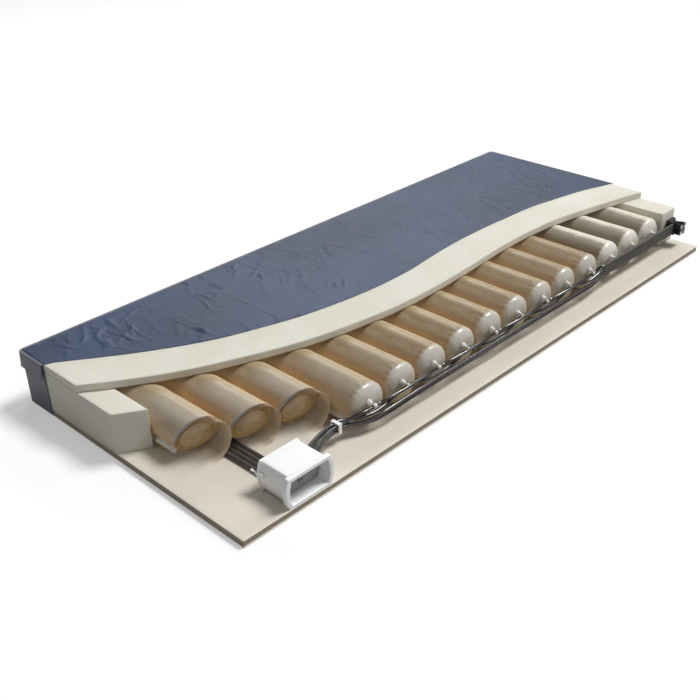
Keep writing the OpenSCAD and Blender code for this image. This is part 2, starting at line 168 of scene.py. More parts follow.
class Shell:
    """Points and faces of a piece while it is being made."""

    def __init__(self) -> None:
        """Starts with nothing."""
        self.points: Rings = []
        self.faces: list[tuple[int, ...]] = []
        self.count = 0

    def loft(self, rings: Rings, closed: bool = True, caps: bool = True) -> "Shell":
        """Skins a row of rings that have the same number of points.

        Args:
            rings: The rings, in order.
            closed: Whether each ring joins up with its own start.
            caps: Whether the first and the last ring are filled.

        Returns:
            This shell.
        """
        first, n = self.count, len(rings[0])
        self.points.extend(np.asarray(r, float) for r in rings)
        self.count += n * len(rings)
        for i in range(len(rings) - 1):
            a, b = first + i * n, first + (i + 1) * n
            for j in range(n if closed else n - 1):
                k = (j + 1) % n
                self.faces.append((a + j, a + k, b + k, b + j))
        if caps:
            last = first + (len(rings) - 1) * n
            self.faces.append(tuple(range(first + n - 1, first - 1, -1)))
            self.faces.append(tuple(range(last, last + n)))
        return self

    def move(self, change: Callable[[np.ndarray], np.ndarray]) -> "Shell":
        """Passes all points through a function that gives them new places."""
        self.points = [change(np.concatenate(self.points))]
        return self

    def piece(self, name: str, finish: "Finish", sharp: float = 40.0, solid: bool = True) -> bpy.types.Object:
        """Makes the object.

        Args:
            name: The piece's name.
            finish: What it is finished in.
            sharp: Edges that turn by more than this, in degrees, look crisp.
            solid: Whether the shell is closed, so that its faces can be turned outwards.

        Returns:
            The new object, at the origin.
        """
        mesh = bpy.data.meshes.new(name)
        mesh.from_pydata(np.concatenate(self.points).tolist(), [], self.faces)
        work = bmesh.new()
        work.from_mesh(mesh)
        bmesh.ops.remove_doubles(work, verts=work.verts, dist=1e-6)
        bmesh.ops.dissolve_degenerate(work, dist=1e-7, edges=work.edges)
        if solid:
            bmesh.ops.recalc_face_normals(work, faces=work.faces)
        work.to_mesh(mesh)
        work.free()
        mesh.shade_smooth()
        mesh.set_sharp_from_angle(angle=math.radians(sharp))
        mesh.materials.append(finish.material())
        made = bpy.data.objects.new(name, mesh)
        bpy.context.scene.collection.objects.link(made)
        return made


def dress(piece: bpy.types.Object, slot: str, *nodes: str, body: str = ROOT) -> bpy.types.Object:
    """Puts a finished piece on its body and hides the frame nodes that it stands for."""
    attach(piece, body)
    if nodes:
        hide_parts(*nodes)
    LOG.info("%s on %s, %d faces", piece.name, body, len(piece.data.polygons))
    return piece


def thicken(piece: bpy.types.Object, thickness: float, offset: float = -1.0) -> bpy.types.Object:
    """Gives a sheet its thickness."""
    wall = piece.modifiers.new("Thickness", "SOLIDIFY")
    wall.thickness = thickness
    wall.offset = offset
    return piece


def soften(node: str, name: str, finish: "Finish", width: float) -> bpy.types.Object:
    """A hard frame node's shape with its edges rounded.

    Args:
        node: The frame node.
        name: The new piece's name.
        finish: What it is finished in.
        width: How wide the rounding is, in metres.

    Returns:
        The new object.
    """
    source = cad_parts[node].data
    work = bmesh.new()
    work.from_mesh(source)
    bmesh.ops.remove_doubles(work, verts=work.verts, dist=2e-5)
    bmesh.ops.dissolve_limit(work, angle_limit=math.radians(1), verts=work.verts, edges=work.edges)
    bmesh.ops.recalc_face_normals(work, faces=work.faces)
    work.verts.index_update()
    corners = [tuple(v.co) for v in work.verts]
    faces = [tuple(v.index for v in f.verts) for f in work.faces]
    work.free()
    mesh = bpy.data.meshes.new(name)
    mesh.from_pydata(corners, [], faces)
    mesh.shade_smooth()
    mesh.set_sharp_from_angle(angle=math.radians(35))
    mesh.materials.append(finish.material())
    made = bpy.data.objects.new(name, mesh)
    bpy.context.scene.collection.objects.link(made)
    bevel = made.modifiers.new("Rounding", "BEVEL")
    bevel.width = width
    bevel.segments = 3
    bevel.limit_method = "ANGLE"
    bevel.angle_limit = math.radians(35)
    bevel.harden_normals = True
    return made


class Graph:
    """Adds nodes to a node tree and joins their sockets."""

    def __init__(self, tree: bpy.types.NodeTree) -> None:
        """Works on the given tree."""
        self.tree = tree

    def add(self, kind: str, inputs: dict[Any, Any] | None = None, **settings: Any) -> bpy.types.Node:
        """Adds a node.

        Args:
            kind: The node's type.
            inputs: Its sockets' values, or the sockets that feed them, by name or number.
            settings: The node's own settings.

        Returns:
            The new node.
        """
        node = self.tree.nodes.new(kind)
        for name, value in settings.items():
            setattr(node, name, value)
        for key, value in (inputs or {}).items():
            if isinstance(value, bpy.types.NodeSocket):
                self.tree.links.new(value, node.inputs[key])
            else:
                node.inputs[key].default_value = value
        return node

    def math(self, operation: str, *values: Any) -> bpy.types.NodeSocket:
        """Adds a Math node and returns its result."""
        return self.add("ShaderNodeMath", dict(enumerate(values)), operation=operation).outputs[0]


# ---- shared shader patterns -------------------------------------------------------------


class Relief(Enum):
    """The shared patterns that roughen a surface."""

    WEAVE = "knit_weave"
    PORES = "foam_pores"
    GRAIN = "moulded_grain"
    FILM = "film_ripple"


def new_group(
    name: str, inputs: Sequence[tuple[str, str]], outputs: Sequence[tuple[str, str]]
) -> bpy.types.NodeTree:
    """An empty shader node group.

    Args:
        name: The group's name.
        inputs: Name and kind of each input.
        outputs: Name and kind of each output.

    Returns:
        The group, with its sockets.
    """
    tree = bpy.data.node_groups.new(name, "ShaderNodeTree")
    for way, sockets in (("INPUT", inputs), ("OUTPUT", outputs)):
        for socket, kind in sockets:
            tree.interface.new_socket(socket, in_out=way, socket_type=f"NodeSocket{kind}")
    return tree


def pattern_group(relief: Relief) -> bpy.types.NodeTree:
    """The shader node group of a pattern, made once.

    Args:
        relief: Which pattern.

    Returns:
        A group with inputs Vector and Scale, and outputs Height and Mask.
    """
    found = bpy.data.node_groups.get(relief.value)
    if found:
        return found
    tree = new_group(
        relief.value, (("Vector", "Vector"), ("Scale", "Float")), (("Height", "Float"), ("Mask", "Float"))
    )
    g = Graph(tree)
    given = g.add("NodeGroupInput").outputs
    vector, scale = given["Vector"], given["Scale"]
    if relief is Relief.WEAVE:
        scaled = g.add("ShaderNodeVectorMath", {0: vector, "Scale": scale}, operation="SCALE")
        axes = g.add("ShaderNodeSeparateXYZ", {0: scaled.outputs[0]}).outputs
        waves = [g.math("SINE", g.math("MULTIPLY", axis, math.tau)) for axis in axes]
        height = g.math("ADD", g.math("ADD", waves[0], waves[1]), waves[2])
        noise = g.add("ShaderNodeTexNoise", {"Vector": vector, "Scale": 14.0, "Detail": 4.0})
        mask = noise.outputs["Fac"]
    elif relief is Relief.PORES:
        cells = g.add("ShaderNodeTexVoronoi", {"Vector": vector, "Scale": scale})
        noise = g.add("ShaderNodeTexNoise", {"Vector": vector, "Scale": scale, "Detail": 5.0})
        height = g.math("ADD", cells.outputs["Distance"], noise.outputs["Fac"])
        mask = g.math("SMOOTH_MIN", cells.outputs["Distance"], noise.outputs["Fac"], 0.2)
    elif relief is Relief.GRAIN:
        noise = g.add(
            "ShaderNodeTexNoise", {"Vector": vector, "Scale": scale, "Detail": 3.0, "Roughness": 0.6}
        )
        height = noise.outputs["Fac"]
        broad = g.add("ShaderNodeTexNoise", {"Vector": vector, "Scale": 22.0, "Detail": 3.0})
        mask = broad.outputs["Fac"]
    else:
        broad = g.add(
            "ShaderNodeTexNoise",
            {"Vector": vector, "Scale": scale, "Detail": 4.0, "Distortion": 0.6},
        )
        height = broad.outputs["Fac"]
        mask = g.math("POWER", broad.outputs["Fac"], 1.6)
    g.add("NodeGroupOutput", {"Height": height, "Mask": mask})
    return tree


def tint_group() -> bpy.types.NodeTree:
    """A group that mixes three colours: a drifting second tone, and a third tone low down.

    Returns:
        The group, with output Colour.
    """
    found = bpy.data.node_groups.get("tone_and_depth")
    if found:
        return found
    tree = new_group(
        "tone_and_depth",
        (
            ("Vector", "Vector"), ("Main", "Color"), ("Second", "Color"), ("Low", "Color"),
            ("Tone Scale", "Float"), ("Low From", "Float"), ("Low To", "Float"),
        ),
        (("Colour", "Color"),),
    )
    g = Graph(tree)
    given = g.add("NodeGroupInput").outputs
    noise = g.add(
        "ShaderNodeTexNoise",
        {"Vector": given["Vector"], "Scale": given["Tone Scale"], "Detail": 5.0, "Distortion": 0.4},
    )
    spread = g.add(
        "ShaderNodeMapRange", {"Value": noise.outputs["Fac"], "From Min": 0.35, "From Max": 0.68}
    )
    tone = g.add(
        "ShaderNodeMix",
        {0: spread.outputs[0], 6: given["Main"], 7: given["Second"]},
        data_type="RGBA",
    )
    up = g.add("ShaderNodeSeparateXYZ", {0: given["Vector"]}).outputs[2]
    wander = g.math("MULTIPLY", g.math("SUBTRACT", noise.outputs["Fac"], 0.5), 0.03)
    depth = g.add(
        "ShaderNodeMapRange",
        {
            "Value": g.math("ADD", up, wander),
            "From Min": given["Low From"],
            "From Max": given["Low To"],
        },
        interpolation_type="SMOOTHSTEP",
    )
    low = g.add(
        "ShaderNodeMix",
        {0: depth.outputs[0], 6: given["Low"], 7: tone.outputs[2]},
        data_type="RGBA",
    )
    g.add("NodeGroupOutput", {"Colour": low.outputs[2]})
    return tree


def crease_group() -> bpy.types.NodeTree:
    """A group that draws thin soft creases in patches, made once.

    Returns:
        The group, with inputs Vector and Scale, and output Height.
    """
    found = bpy.data.node_groups.get("soft_creases")
    if found:
        return found
    tree = new_group("soft_creases", (("Vector", "Vector"), ("Scale", "Float")), (("Height", "Float"),))
    g = Graph(tree)
    given = g.add("NodeGroupInput").outputs
    place = given["Vector"]
    sway = g.add("ShaderNodeTexNoise", {"Vector": place, "Scale": 11.0, "Detail": 2.0})
    swayed = g.add(
        "ShaderNodeVectorMath", {0: sway.outputs["Color"], 1: (0.05, 0.05, 0.05), 2: place},
        operation="MULTIPLY_ADD",
    )
    pulled = g.add(
        "ShaderNodeVectorMath", {0: swayed.outputs[0], 1: (1.5, 0.6, 1.5)}, operation="MULTIPLY"
    )
    folds = g.add(
        "ShaderNodeTexVoronoi", {"Vector": pulled.outputs[0], "Scale": given["Scale"]},
        feature="DISTANCE_TO_EDGE",
    )
    line = g.add(
        "ShaderNodeMapRange",
        {"Value": folds.outputs["Distance"], "From Max": 0.09, "To Min": 1.0, "To Max": 0.0},
        interpolation_type="SMOOTHSTEP",
    )
    zones = g.add("ShaderNodeTexNoise", {"Vector": place, "Scale": 6.0, "Detail": 3.0})
    zone = g.add(
        "ShaderNodeMapRange", {"Value": zones.outputs["Fac"], "From Min": 0.46, "From Max": 0.66}
    )
    g.add("NodeGroupOutput", {"Height": g.math("MULTIPLY", line.outputs[0], zone.outputs[0])})
    return tree


@dataclass(frozen=True)
class Finish:
    """What a surface is finished in.

    Attributes:
        name: The material's name.
        main: Its main colour.
        second: The tone that the main colour drifts to.
        relief: Its fine pattern.
        scale: How many times the pattern repeats in a metre.
        depth: The pattern's depth, in metres.
        roughness: How dull it is, 0 to 1.
        drift: How far the roughness wanders.
        tone_scale: How many times the drift between the two tones repeats in a metre.
        low: The colour low down, or None where height changes nothing.
        low_span: The heights between which the low colour gives way to the main one.
        crease: Depth of thin soft creases, in metres.
        crease_scale: How many creases there are in a metre.
        veil: Whether the mark "veil" on the piece says how much of it can be seen.
        sockets: Constant values set on the shader's own sockets.
    """

    name: str
    main: Colour
    second: Colour
    relief: Relief
    scale: float
    depth: float
    roughness: float
    drift: float = 0.08
    tone_scale: float = 9.0
    low: Colour | None = None
    low_span: tuple[float, float] = (-2.0, -1.0)
    crease: float = 0.0
    crease_scale: float = 9.0
    veil: bool = False
    sockets: dict[str, Any] = field(default_factory=dict, hash=False)

    def material(self) -> bpy.types.Material:
        """The material, made the first time that it is asked for."""
        found = bpy.data.materials.get(self.name)
        if found:
            return found
        made = bpy.data.materials.new(self.name)
        made.use_nodes = True
        made.node_tree.nodes.clear()
        g = Graph(made.node_tree)
        place = g.add("ShaderNodeTexCoord").outputs["Object"]
        pattern = g.add("ShaderNodeGroup", node_tree=pattern_group(self.relief))
        made.node_tree.links.new(place, pattern.inputs["Vector"])
        pattern.inputs["Scale"].default_value = self.scale
        tint = g.add("ShaderNodeGroup", node_tree=tint_group())
        made.node_tree.links.new(place, tint.inputs["Vector"])
        values = {
            "Main": (*self.main, 1),
            "Second": (*self.second, 1),
            "Low": (*(self.low or self.main), 1),
            "Tone Scale": self.tone_scale,
            "Low From": self.low_span[0],
            "Low To": self.low_span[1],
        }
        for name, value in values.items():
            tint.inputs[name].default_value = value
        rough = g.add(
            "ShaderNodeMapRange",
            {
                "Value": pattern.outputs["Mask"],
                "To Min": self.roughness - self.drift,
                "To Max": self.roughness + self.drift,
            },
        )
        fine = {"Height": pattern.outputs["Height"], "Distance": self.depth, "Strength": 1.0}
        if self.crease:
            folds = g.add("ShaderNodeGroup", node_tree=crease_group())
            made.node_tree.links.new(place, folds.inputs["Vector"])
            folds.inputs["Scale"].default_value = self.crease_scale
            broad = {"Height": folds.outputs["Height"], "Distance": self.crease, "Strength": 1.0}
            fine["Normal"] = g.add("ShaderNodeBump", broad).outputs[0]
        bump = g.add("ShaderNodeBump", fine)
        shader = g.add(
            "ShaderNodeBsdfPrincipled",
            {
                "Base Color": tint.outputs["Colour"],
                "Roughness": rough.outputs[0],
                "Normal": bump.outputs[0],
                **self.sockets,
            },
        )
        if self.veil:
            seen = g.add("ShaderNodeAttribute", attribute_name="veil").outputs["Fac"]
            made.node_tree.links.new(seen, shader.inputs["Alpha"])
        g.add("ShaderNodeOutputMaterial", {"Surface": shader.outputs[0]})
        return made


def mark(piece: bpy.types.Object, name: str, values: np.ndarray) -> None:
    """Writes one number a point on a piece, for its finish to read."""
    made = piece.data.attributes.new(name, "FLOAT", "POINT")
    made.data.foreach_set("value", values.astype(np.float32))


def corners(piece: bpy.types.Object) -> np.ndarray:
    """A piece's points, one a row."""
    flat = np.empty(len(piece.data.vertices) * 3, np.float32)
    piece.data.vertices.foreach_get("co", flat)
    return flat.reshape(-1, 3).astype(float)


@dataclass(frozen=True)
class Film:
    """A welded translucent film, which is read round the cell from three marks on the piece.

    The mark "round" runs from 0 on the head side, over 0.5 on top, to 1 on the foot side, and the colours
    along it paint light and shade round the cell.
    The mark "glow" is where the film is painted with a glow, an emission that stands in for light coming
    through it, and "cap" is 1 on the cell's ends.

    Attributes:
        name: The material's name.
        stops: Places along "round", with their colours, which paint a highlight high on the head side and
            shade past the top towards the foot side.
        cool: The colour that the mark "cool" mixes in.
        cap: The colour of the ends, high up and low down; the ends are painted lighter high up, standing in
            for light from above.
        glow: The colour of a painted glow, an emission that stands in for light coming through the film.
        roughness: How dull the wall is.
        levels: The heights between which the ends' low colour gives way to the high one.
    """

    name: str
    stops: tuple[tuple[float, Colour], ...]
    cool: Colour
    cap: tuple[Colour, Colour]
    glow: Colour
    roughness: float = 0.42
    levels: tuple[float, float] = (0.035, 0.11)

    def material(self) -> bpy.types.Material:
        """The material, made the first time that it is asked for."""
        found = bpy.data.materials.get(self.name)
        if found:
            return found
        made = bpy.data.materials.new(self.name)
        made.use_nodes = True
        made.node_tree.nodes.clear()
        g = Graph(made.node_tree)
        place = g.add("ShaderNodeTexCoord").outputs["Object"]
        marks = {
            name: g.add("ShaderNodeAttribute", attribute_name=name).outputs["Fac"]
            for name in ("round", "glow", "cap", "cool")
        }
        pattern = g.add("ShaderNodeGroup", node_tree=pattern_group(Relief.FILM))
        made.node_tree.links.new(place, pattern.inputs["Vector"])
        pattern.inputs["Scale"].default_value = 26.0
        drift = g.math("MULTIPLY", g.math("SUBTRACT", pattern.outputs["Height"], 0.5), 0.12)
        # The colours along "round" paint light and shade round the cell: a highlight high on the head side
        # and a shaded band past the top.
        ramp = g.add("ShaderNodeValToRGB", {0: g.math("ADD", marks["round"], drift)})
        band = ramp.color_ramp
        band.interpolation = "EASE"
        for number, (spot, colour) in enumerate(self.stops):
            stop = band.elements[number] if number < 2 else band.elements.new(spot)
            stop.position = spot
            stop.color = (*colour, 1)
        up = g.add("ShaderNodeSeparateXYZ", {0: place}).outputs[2]
        high = g.add(
            "ShaderNodeMapRange",
            {
                "Value": g.math("ADD", up, g.math("MULTIPLY", drift, 0.2)),
                "From Min": self.levels[0],
                "From Max": self.levels[1],
            },
        )
        # Painted light: the ends are lighter high up, as if lit from above.
        cap = self.blend(g, high.outputs[0], (*self.cap[1], 1), (*self.cap[0], 1))
        wall = self.blend(g, marks["cool"], ramp.outputs[0], (*self.cool, 1))
        colour = self.blend(g, marks["cap"], wall, cap)
        # Painted glow: an emission in the glow colour, standing in for light coming through the film.
        light = self.blend(g, marks["glow"], (0, 0, 0, 1), (*self.glow, 1))
        rough = g.add(
            "ShaderNodeMapRange",
            {"Value": marks["cap"], "To Min": self.roughness, "To Max": self.roughness - 0.14},
        )
        bump = g.add(
            "ShaderNodeBump", {"Height": pattern.outputs["Height"], "Distance": 0.0016, "Strength": 1.0}
        )
        shader = g.add(
            "ShaderNodeBsdfPrincipled",
            {
                "Base Color": colour,
                "Roughness": rough.outputs[0],
                "Normal": bump.outputs[0],
                "Emission Color": light,
                "Emission Strength": 1.0,
                "Coat Weight": 0.2,
                "Coat Roughness": 0.18,
            },
        )
        g.add("ShaderNodeOutputMaterial", {"Surface": shader.outputs[0]})
        return made

    @staticmethod
    def blend(g: Graph, share: Any, first: Any, second: Any) -> bpy.types.NodeSocket:
        """Mixes two colours by a share."""
        return g.add("ShaderNodeMix", {0: share, 6: first, 7: second}, data_type="RGBA").outputs[2]


class Finishes:
    """Every finish on the mattress."""

    cover = Finish(
        "cover_cloth", shade(62, 79, 110), shade(54, 66, 90), Relief.WEAVE, 420.0, 0.00012, 0.42,
        0.16, 3.0, crease=0.0024, crease_scale=7.0,
        sockets={"Sheen Weight": 0.05, "Sheen Roughness": 0.4, "Coat Weight": 0.12, "Coat Roughness": 0.3},
    )
    # A lighter, greyer copy of the cover cloth for the skirt, seam and flap: painted light standing in for
    # light on their shaded sides.
    lightened_side_cloth = Finish(
        "side_cloth_painted_light", shade(130, 132, 138), shade(116, 118, 126), Relief.WEAVE, 420.0, 0.00012, 0.5,
        0.1, 5.0, crease=0.0016, crease_scale=9.0,
        sockets={"Sheen Weight": 0.05, "Sheen Roughness": 0.4, "Coat Weight": 0.1, "Coat Roughness": 0.3},
    )
    thread = Finish(
        "seam_thread", shade(48, 56, 76), shade(62, 70, 92), Relief.WEAVE, 900.0, 0.0001, 0.7,
    )
    foam = Finish(
        "open_foam", shade(226, 224, 212), shade(219, 215, 201), Relief.PORES, 620.0, 0.0006, 0.9,
        0.04, 7.0, sockets={"Subsurface Weight": 0.1, "Subsurface Scale": 0.006},
    )
    core_foam = Finish(
        "core_foam", shade(176, 164, 148), shade(160, 148, 130), Relief.PORES, 700.0, 0.0006, 0.92, 0.04,
    )
    base = Finish(
        "base_skin", shade(228, 221, 208), shade(219, 212, 198), Relief.WEAVE, 520.0, 0.00008, 0.42,
        0.08, 3.0,
        sockets={"Coat Weight": 0.2, "Coat Roughness": 0.25},
    )
    # Amber film: the colours round the cell paint a highlight and a shaded band, the ends are painted lighter
    # high up, and the last colour is a painted glow.
    amber = Film(
        "amber_cell_film",
        (
            (0.24, shade(194, 160, 116)), (0.35, shade(200, 183, 150)), (0.47, shade(166, 147, 112)),
            (0.6, shade(144, 125, 96)), (0.73, shade(176, 157, 130)), (0.86, shade(192, 170, 138)),
            (1.0, shade(194, 168, 134)),
        ),
        shade(184, 173, 156), (shade(202, 196, 184), shade(188, 166, 132)), shade(78, 62, 43),
    )
    # Pale film: the colours round the cell paint a highlight high on the head side and shade down the foot
    # side, the ends are painted lighter high up, and the last colour is a painted glow.
    pale = Film(
        "pale_cell_film",
        (
            (0.24, shade(216, 208, 192)), (0.38, shade(234, 230, 216)), (0.5, shade(220, 214, 198)),
            (0.62, shade(154, 146, 130)), (0.8, shade(142, 133, 116)), (1.0, shade(140, 120, 94)),
        ),
        shade(210, 205, 192), (shade(226, 223, 212), shade(206, 200, 184)), shade(50, 38, 24), 0.5,
    )
    # Inside of the cut film: painted lighter low down, standing in for light falling into the opening, with a
    # painted glow (emission) standing in for light through the film.
    inside = Finish(
        "film_inside", shade(212, 188, 140), shade(180, 152, 110), Relief.FILM, 30.0, 0.0012, 0.26,
        tone_scale=16.0, low=shade(224, 202, 152), low_span=(0.03, 0.075),
        sockets={"Emission Color": (*shade(62, 50, 32), 1), "Emission Strength": 1.0, "Coat Weight": 0.4,
                 "Coat Roughness": 0.1},
    )
    cut_edge = Finish(
        "film_cut_edge", shade(176, 182, 190), shade(160, 166, 176), Relief.FILM, 40.0, 0.0004, 0.4,
    )
    # Inner cell film: painted lighter low down, standing in for light from above, with a painted glow
    # (emission) standing in for light through the film.
    inner = Finish(
        "golden_inner_film", shade(188, 162, 124), shade(156, 130, 98), Relief.FILM, 24.0, 0.003, 0.3,
        tone_scale=22.0, low=shade(208, 184, 134), low_span=(0.03, 0.08),
        sockets={"Emission Color": (*shade(52, 42, 28), 1), "Emission Strength": 1.0, "Coat Weight": 0.5,
                 "Coat Roughness": 0.12},
    )
    clear = Finish(
        "smoky_clear_film", shade(230, 212, 184), shade(214, 196, 168), Relief.FILM, 18.0, 0.0008, 0.2, 0.04,
        veil=True, sockets={"Coat Weight": 0.5, "Coat Roughness": 0.08},
    )
    weld = Finish(
        "milky_weld_film", shade(236, 233, 224), shade(222, 216, 202), Relief.FILM, 60.0, 0.0006, 0.36,
    )
    fitting = Finish(
        "white_nylon", shade(240, 240, 238), shade(228, 228, 226), Relief.GRAIN, 900.0, 0.00006, 0.3,
        sockets={"Coat Weight": 0.3, "Coat Roughness": 0.15},
    )
    link = Finish(
        "straw_clear_tube", shade(214, 188, 128), shade(196, 168, 108), Relief.GRAIN, 300.0, 0.00004,
        0.14, 0.04,
        sockets={"Alpha": 0.72, "Coat Weight": 0.5, "Coat Roughness": 0.06},
    )
    hose = Finish(
        "gloss_black_hose", shade(24, 22, 20), shade(34, 31, 28), Relief.GRAIN, 240.0, 0.00004, 0.24, 0.06,
        sockets={"Coat Weight": 0.8, "Coat Roughness": 0.06, "Coat IOR": 1.65},
    )
    ribbon = Finish(
        "ribbed_rubber", shade(68, 66, 62), shade(80, 77, 72), Relief.GRAIN, 700.0, 0.0001, 0.5,
    )
    housing = Finish(
        "white_gloss_moulding", shade(252, 252, 252), shade(246, 247, 248), Relief.GRAIN, 1400.0, 0.00005,
        0.34,
        sockets={"Coat Weight": 0.25, "Coat Roughness": 0.2, "Subsurface Weight": 0.25,
                 "Subsurface Scale": 0.008, "Subsurface Radius": (1.0, 1.0, 1.0)},
    )
    grey = Finish(
        "grey_moulding", shade(166, 167, 170), shade(150, 151, 154), Relief.GRAIN, 1200.0, 0.00006, 0.5,
    )
    black = Finish(
        "black_moulding", shade(34, 33, 33), shade(44, 43, 42), Relief.GRAIN, 1000.0, 0.00006, 0.3,
        sockets={"Coat Weight": 0.3, "Coat Roughness": 0.15},
    )
    seal = Finish(
        "o_ring_rubber", shade(26, 26, 26), shade(34, 34, 34), Relief.GRAIN, 800.0, 0.00006, 0.6,
    )
    tape = Finish(
        "woven_zip_tape", shade(40, 45, 60), shade(50, 56, 72), Relief.WEAVE, 700.0, 0.00012, 0.8,
    )
    coil = Finish(
        "nylon_zip_coil", shade(30, 32, 38), shade(38, 40, 48), Relief.GRAIN, 900.0, 0.00005, 0.35,
    )
    metal = Finish(
        "plated_zip_metal", shade(176, 176, 180), shade(160, 160, 166), Relief.GRAIN, 1500.0, 0.00004, 0.28,
        sockets={"Metallic": 1.0},
    )


# ---- geometry node trees ----------------------------------------------------------------


class Rule(Enum):
    """The shared geometry node trees."""

    TUBE = "tube_along_path"
    ROW = "shape_along_path"
    SPOTS = "shape_on_points"


def rule_tree(rule: Rule) -> bpy.types.NodeTree:
    """The geometry node tree of a rule, made once.

    Args:
        rule: Which tree.

    Returns:
        A tree that ends in Realize Instances and Set Material.
    """
    found = bpy.data.node_groups.get(rule.value)
    if found:
        return found
    tree = bpy.data.node_groups.new(rule.value, "GeometryNodeTree")
    sockets = [("Geometry", "NodeSocketGeometry"), ("Material", "NodeSocketMaterial")]
    if rule is Rule.TUBE:
        sockets += [("Radius", "NodeSocketFloat"), ("Sides", "NodeSocketInt")]
    else:
        sockets += [("Shape", "NodeSocketObject"), ("Spacing", "NodeSocketFloat")]
    for name, kind in sockets:
        tree.interface.new_socket(name, in_out="INPUT", socket_type=kind)
    tree.interface.new_socket("Geometry", in_out="OUTPUT", socket_type="NodeSocketGeometry")
    g = Graph(tree)
    given = g.add("NodeGroupInput").outputs
    if rule is Rule.SPOTS:
        points = g.add("GeometryNodeMeshToPoints", {"Mesh": given["Geometry"]}).outputs[0]
        turn = (0.0, 0.0, 0.0)
    else:
        line = g.add("GeometryNodeMeshToCurve", {"Mesh": given["Geometry"]}).outputs[0]
    if rule is Rule.TUBE:
        round_one = g.add(
            "GeometryNodeCurvePrimitiveCircle",
            {"Radius": given["Radius"], "Resolution": given["Sides"]},
        )
        swept = g.add(
            "GeometryNodeCurveToMesh",
            {"Curve": line, "Profile Curve": round_one.outputs[0], "Fill Caps": True},
        )
        result = g.add("GeometryNodeRealizeInstances", {0: swept.outputs[0]})
    else:
        if rule is Rule.ROW:
            spaced = g.add(
                "GeometryNodeCurveToPoints", {"Curve": line, "Length": given["Spacing"]}, mode="LENGTH"
            )
            points, turn = spaced.outputs["Points"], spaced.outputs["Rotation"]
        shape = g.add("GeometryNodeObjectInfo", {"Object": given["Shape"]})
        set_out = g.add(
            "GeometryNodeInstanceOnPoints",
            {"Points": points, "Instance": shape.outputs["Geometry"], "Rotation": turn},
        )
        result = g.add("GeometryNodeRealizeInstances", {0: set_out.outputs[0]})
    coated = g.add(
        "GeometryNodeSetMaterial", {"Geometry": result.outputs[0], "Material": given["Material"]}
    )
    g.add("NodeGroupOutput", {"Geometry": coated.outputs[0]})
    return tree


def path_object(paths: Sequence[np.ndarray], joined: bool = True) -> bpy.types.Object:
    """A mesh of bare lines, or of bare points, that a tree works along."""
    corners, edges = [], []
    for path in paths:
        first = len(corners)
        corners += [tuple(p) for p in path]
        if joined:
            edges += [(i, i + 1) for i in range(first, len(corners) - 1)]
    mesh = bpy.data.meshes.new("path")
    mesh.from_pydata(corners, edges, [])
    made = bpy.data.objects.new("path", mesh)
    bpy.context.scene.collection.objects.link(made)
    return made


def grow(
    rule: Rule, name: str, paths: Sequence[np.ndarray], finish: Finish, **values: Any
) -> bpy.types.Object:
    """Runs a geometry node tree and keeps its result as a plain mesh.

    Args:
        rule: Which tree.
        name: The new piece's name.
        paths: The lines or points that it follows.
        finish: What it is finished in.
        values: The tree's other inputs, by name.

    Returns:
        The new object, with no modifier left on it.
    """
    tree = rule_tree(rule)
    source = path_object(paths, joined=rule is not Rule.SPOTS)
    modifier = source.modifiers.new(name, "NODES")
    modifier.node_group = tree
    values["Material"] = finish.material()
    for item in tree.interface.items_tree:
        if item.in_out == "INPUT" and item.name in values:
            modifier[item.identifier] = values[item.name]
    scene = bpy.context.evaluated_depsgraph_get()
    mesh = bpy.data.meshes.new_from_object(source.evaluated_get(scene))
    mesh.name = name
    if "Shape" in values:
        bpy.data.objects.remove(values["Shape"])
    bpy.data.objects.remove(source)
    work = bmesh.new()
    work.from_mesh(mesh)
    bmesh.ops.recalc_face_normals(work, faces=work.faces)
    work.to_mesh(mesh)
    work.free()
    mesh.shade_smooth()
    mesh.set_sharp_from_angle(angle=math.radians(50))
    made = bpy.data.objects.new(name, mesh)
    bpy.context.scene.collection.objects.link(made)
    return made


# ---- foam and base ----------------------------------------------------------------------


def edge_of(node: str) -> Callable[[np.ndarray], np.ndarray]:
    """The curved cut edge of a flat frame node, as Y for each X.

    Args:
        node: A node whose far side is straight and whose near side is the cut.

    Returns:
        A function from X to the edge's Y.
    """
    corners = np.array([v.co[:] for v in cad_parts[node].data.vertices])
    near = corners[corners[:, 1] < corners[:, 1].max() - MM][:, :2]
    marks = np.unique(near.round(5), axis=0)
    curve = smooth_path(marks, 8 * MM)
    return lambda x: np.interp(x, curve[:, 0], curve[:, 1])


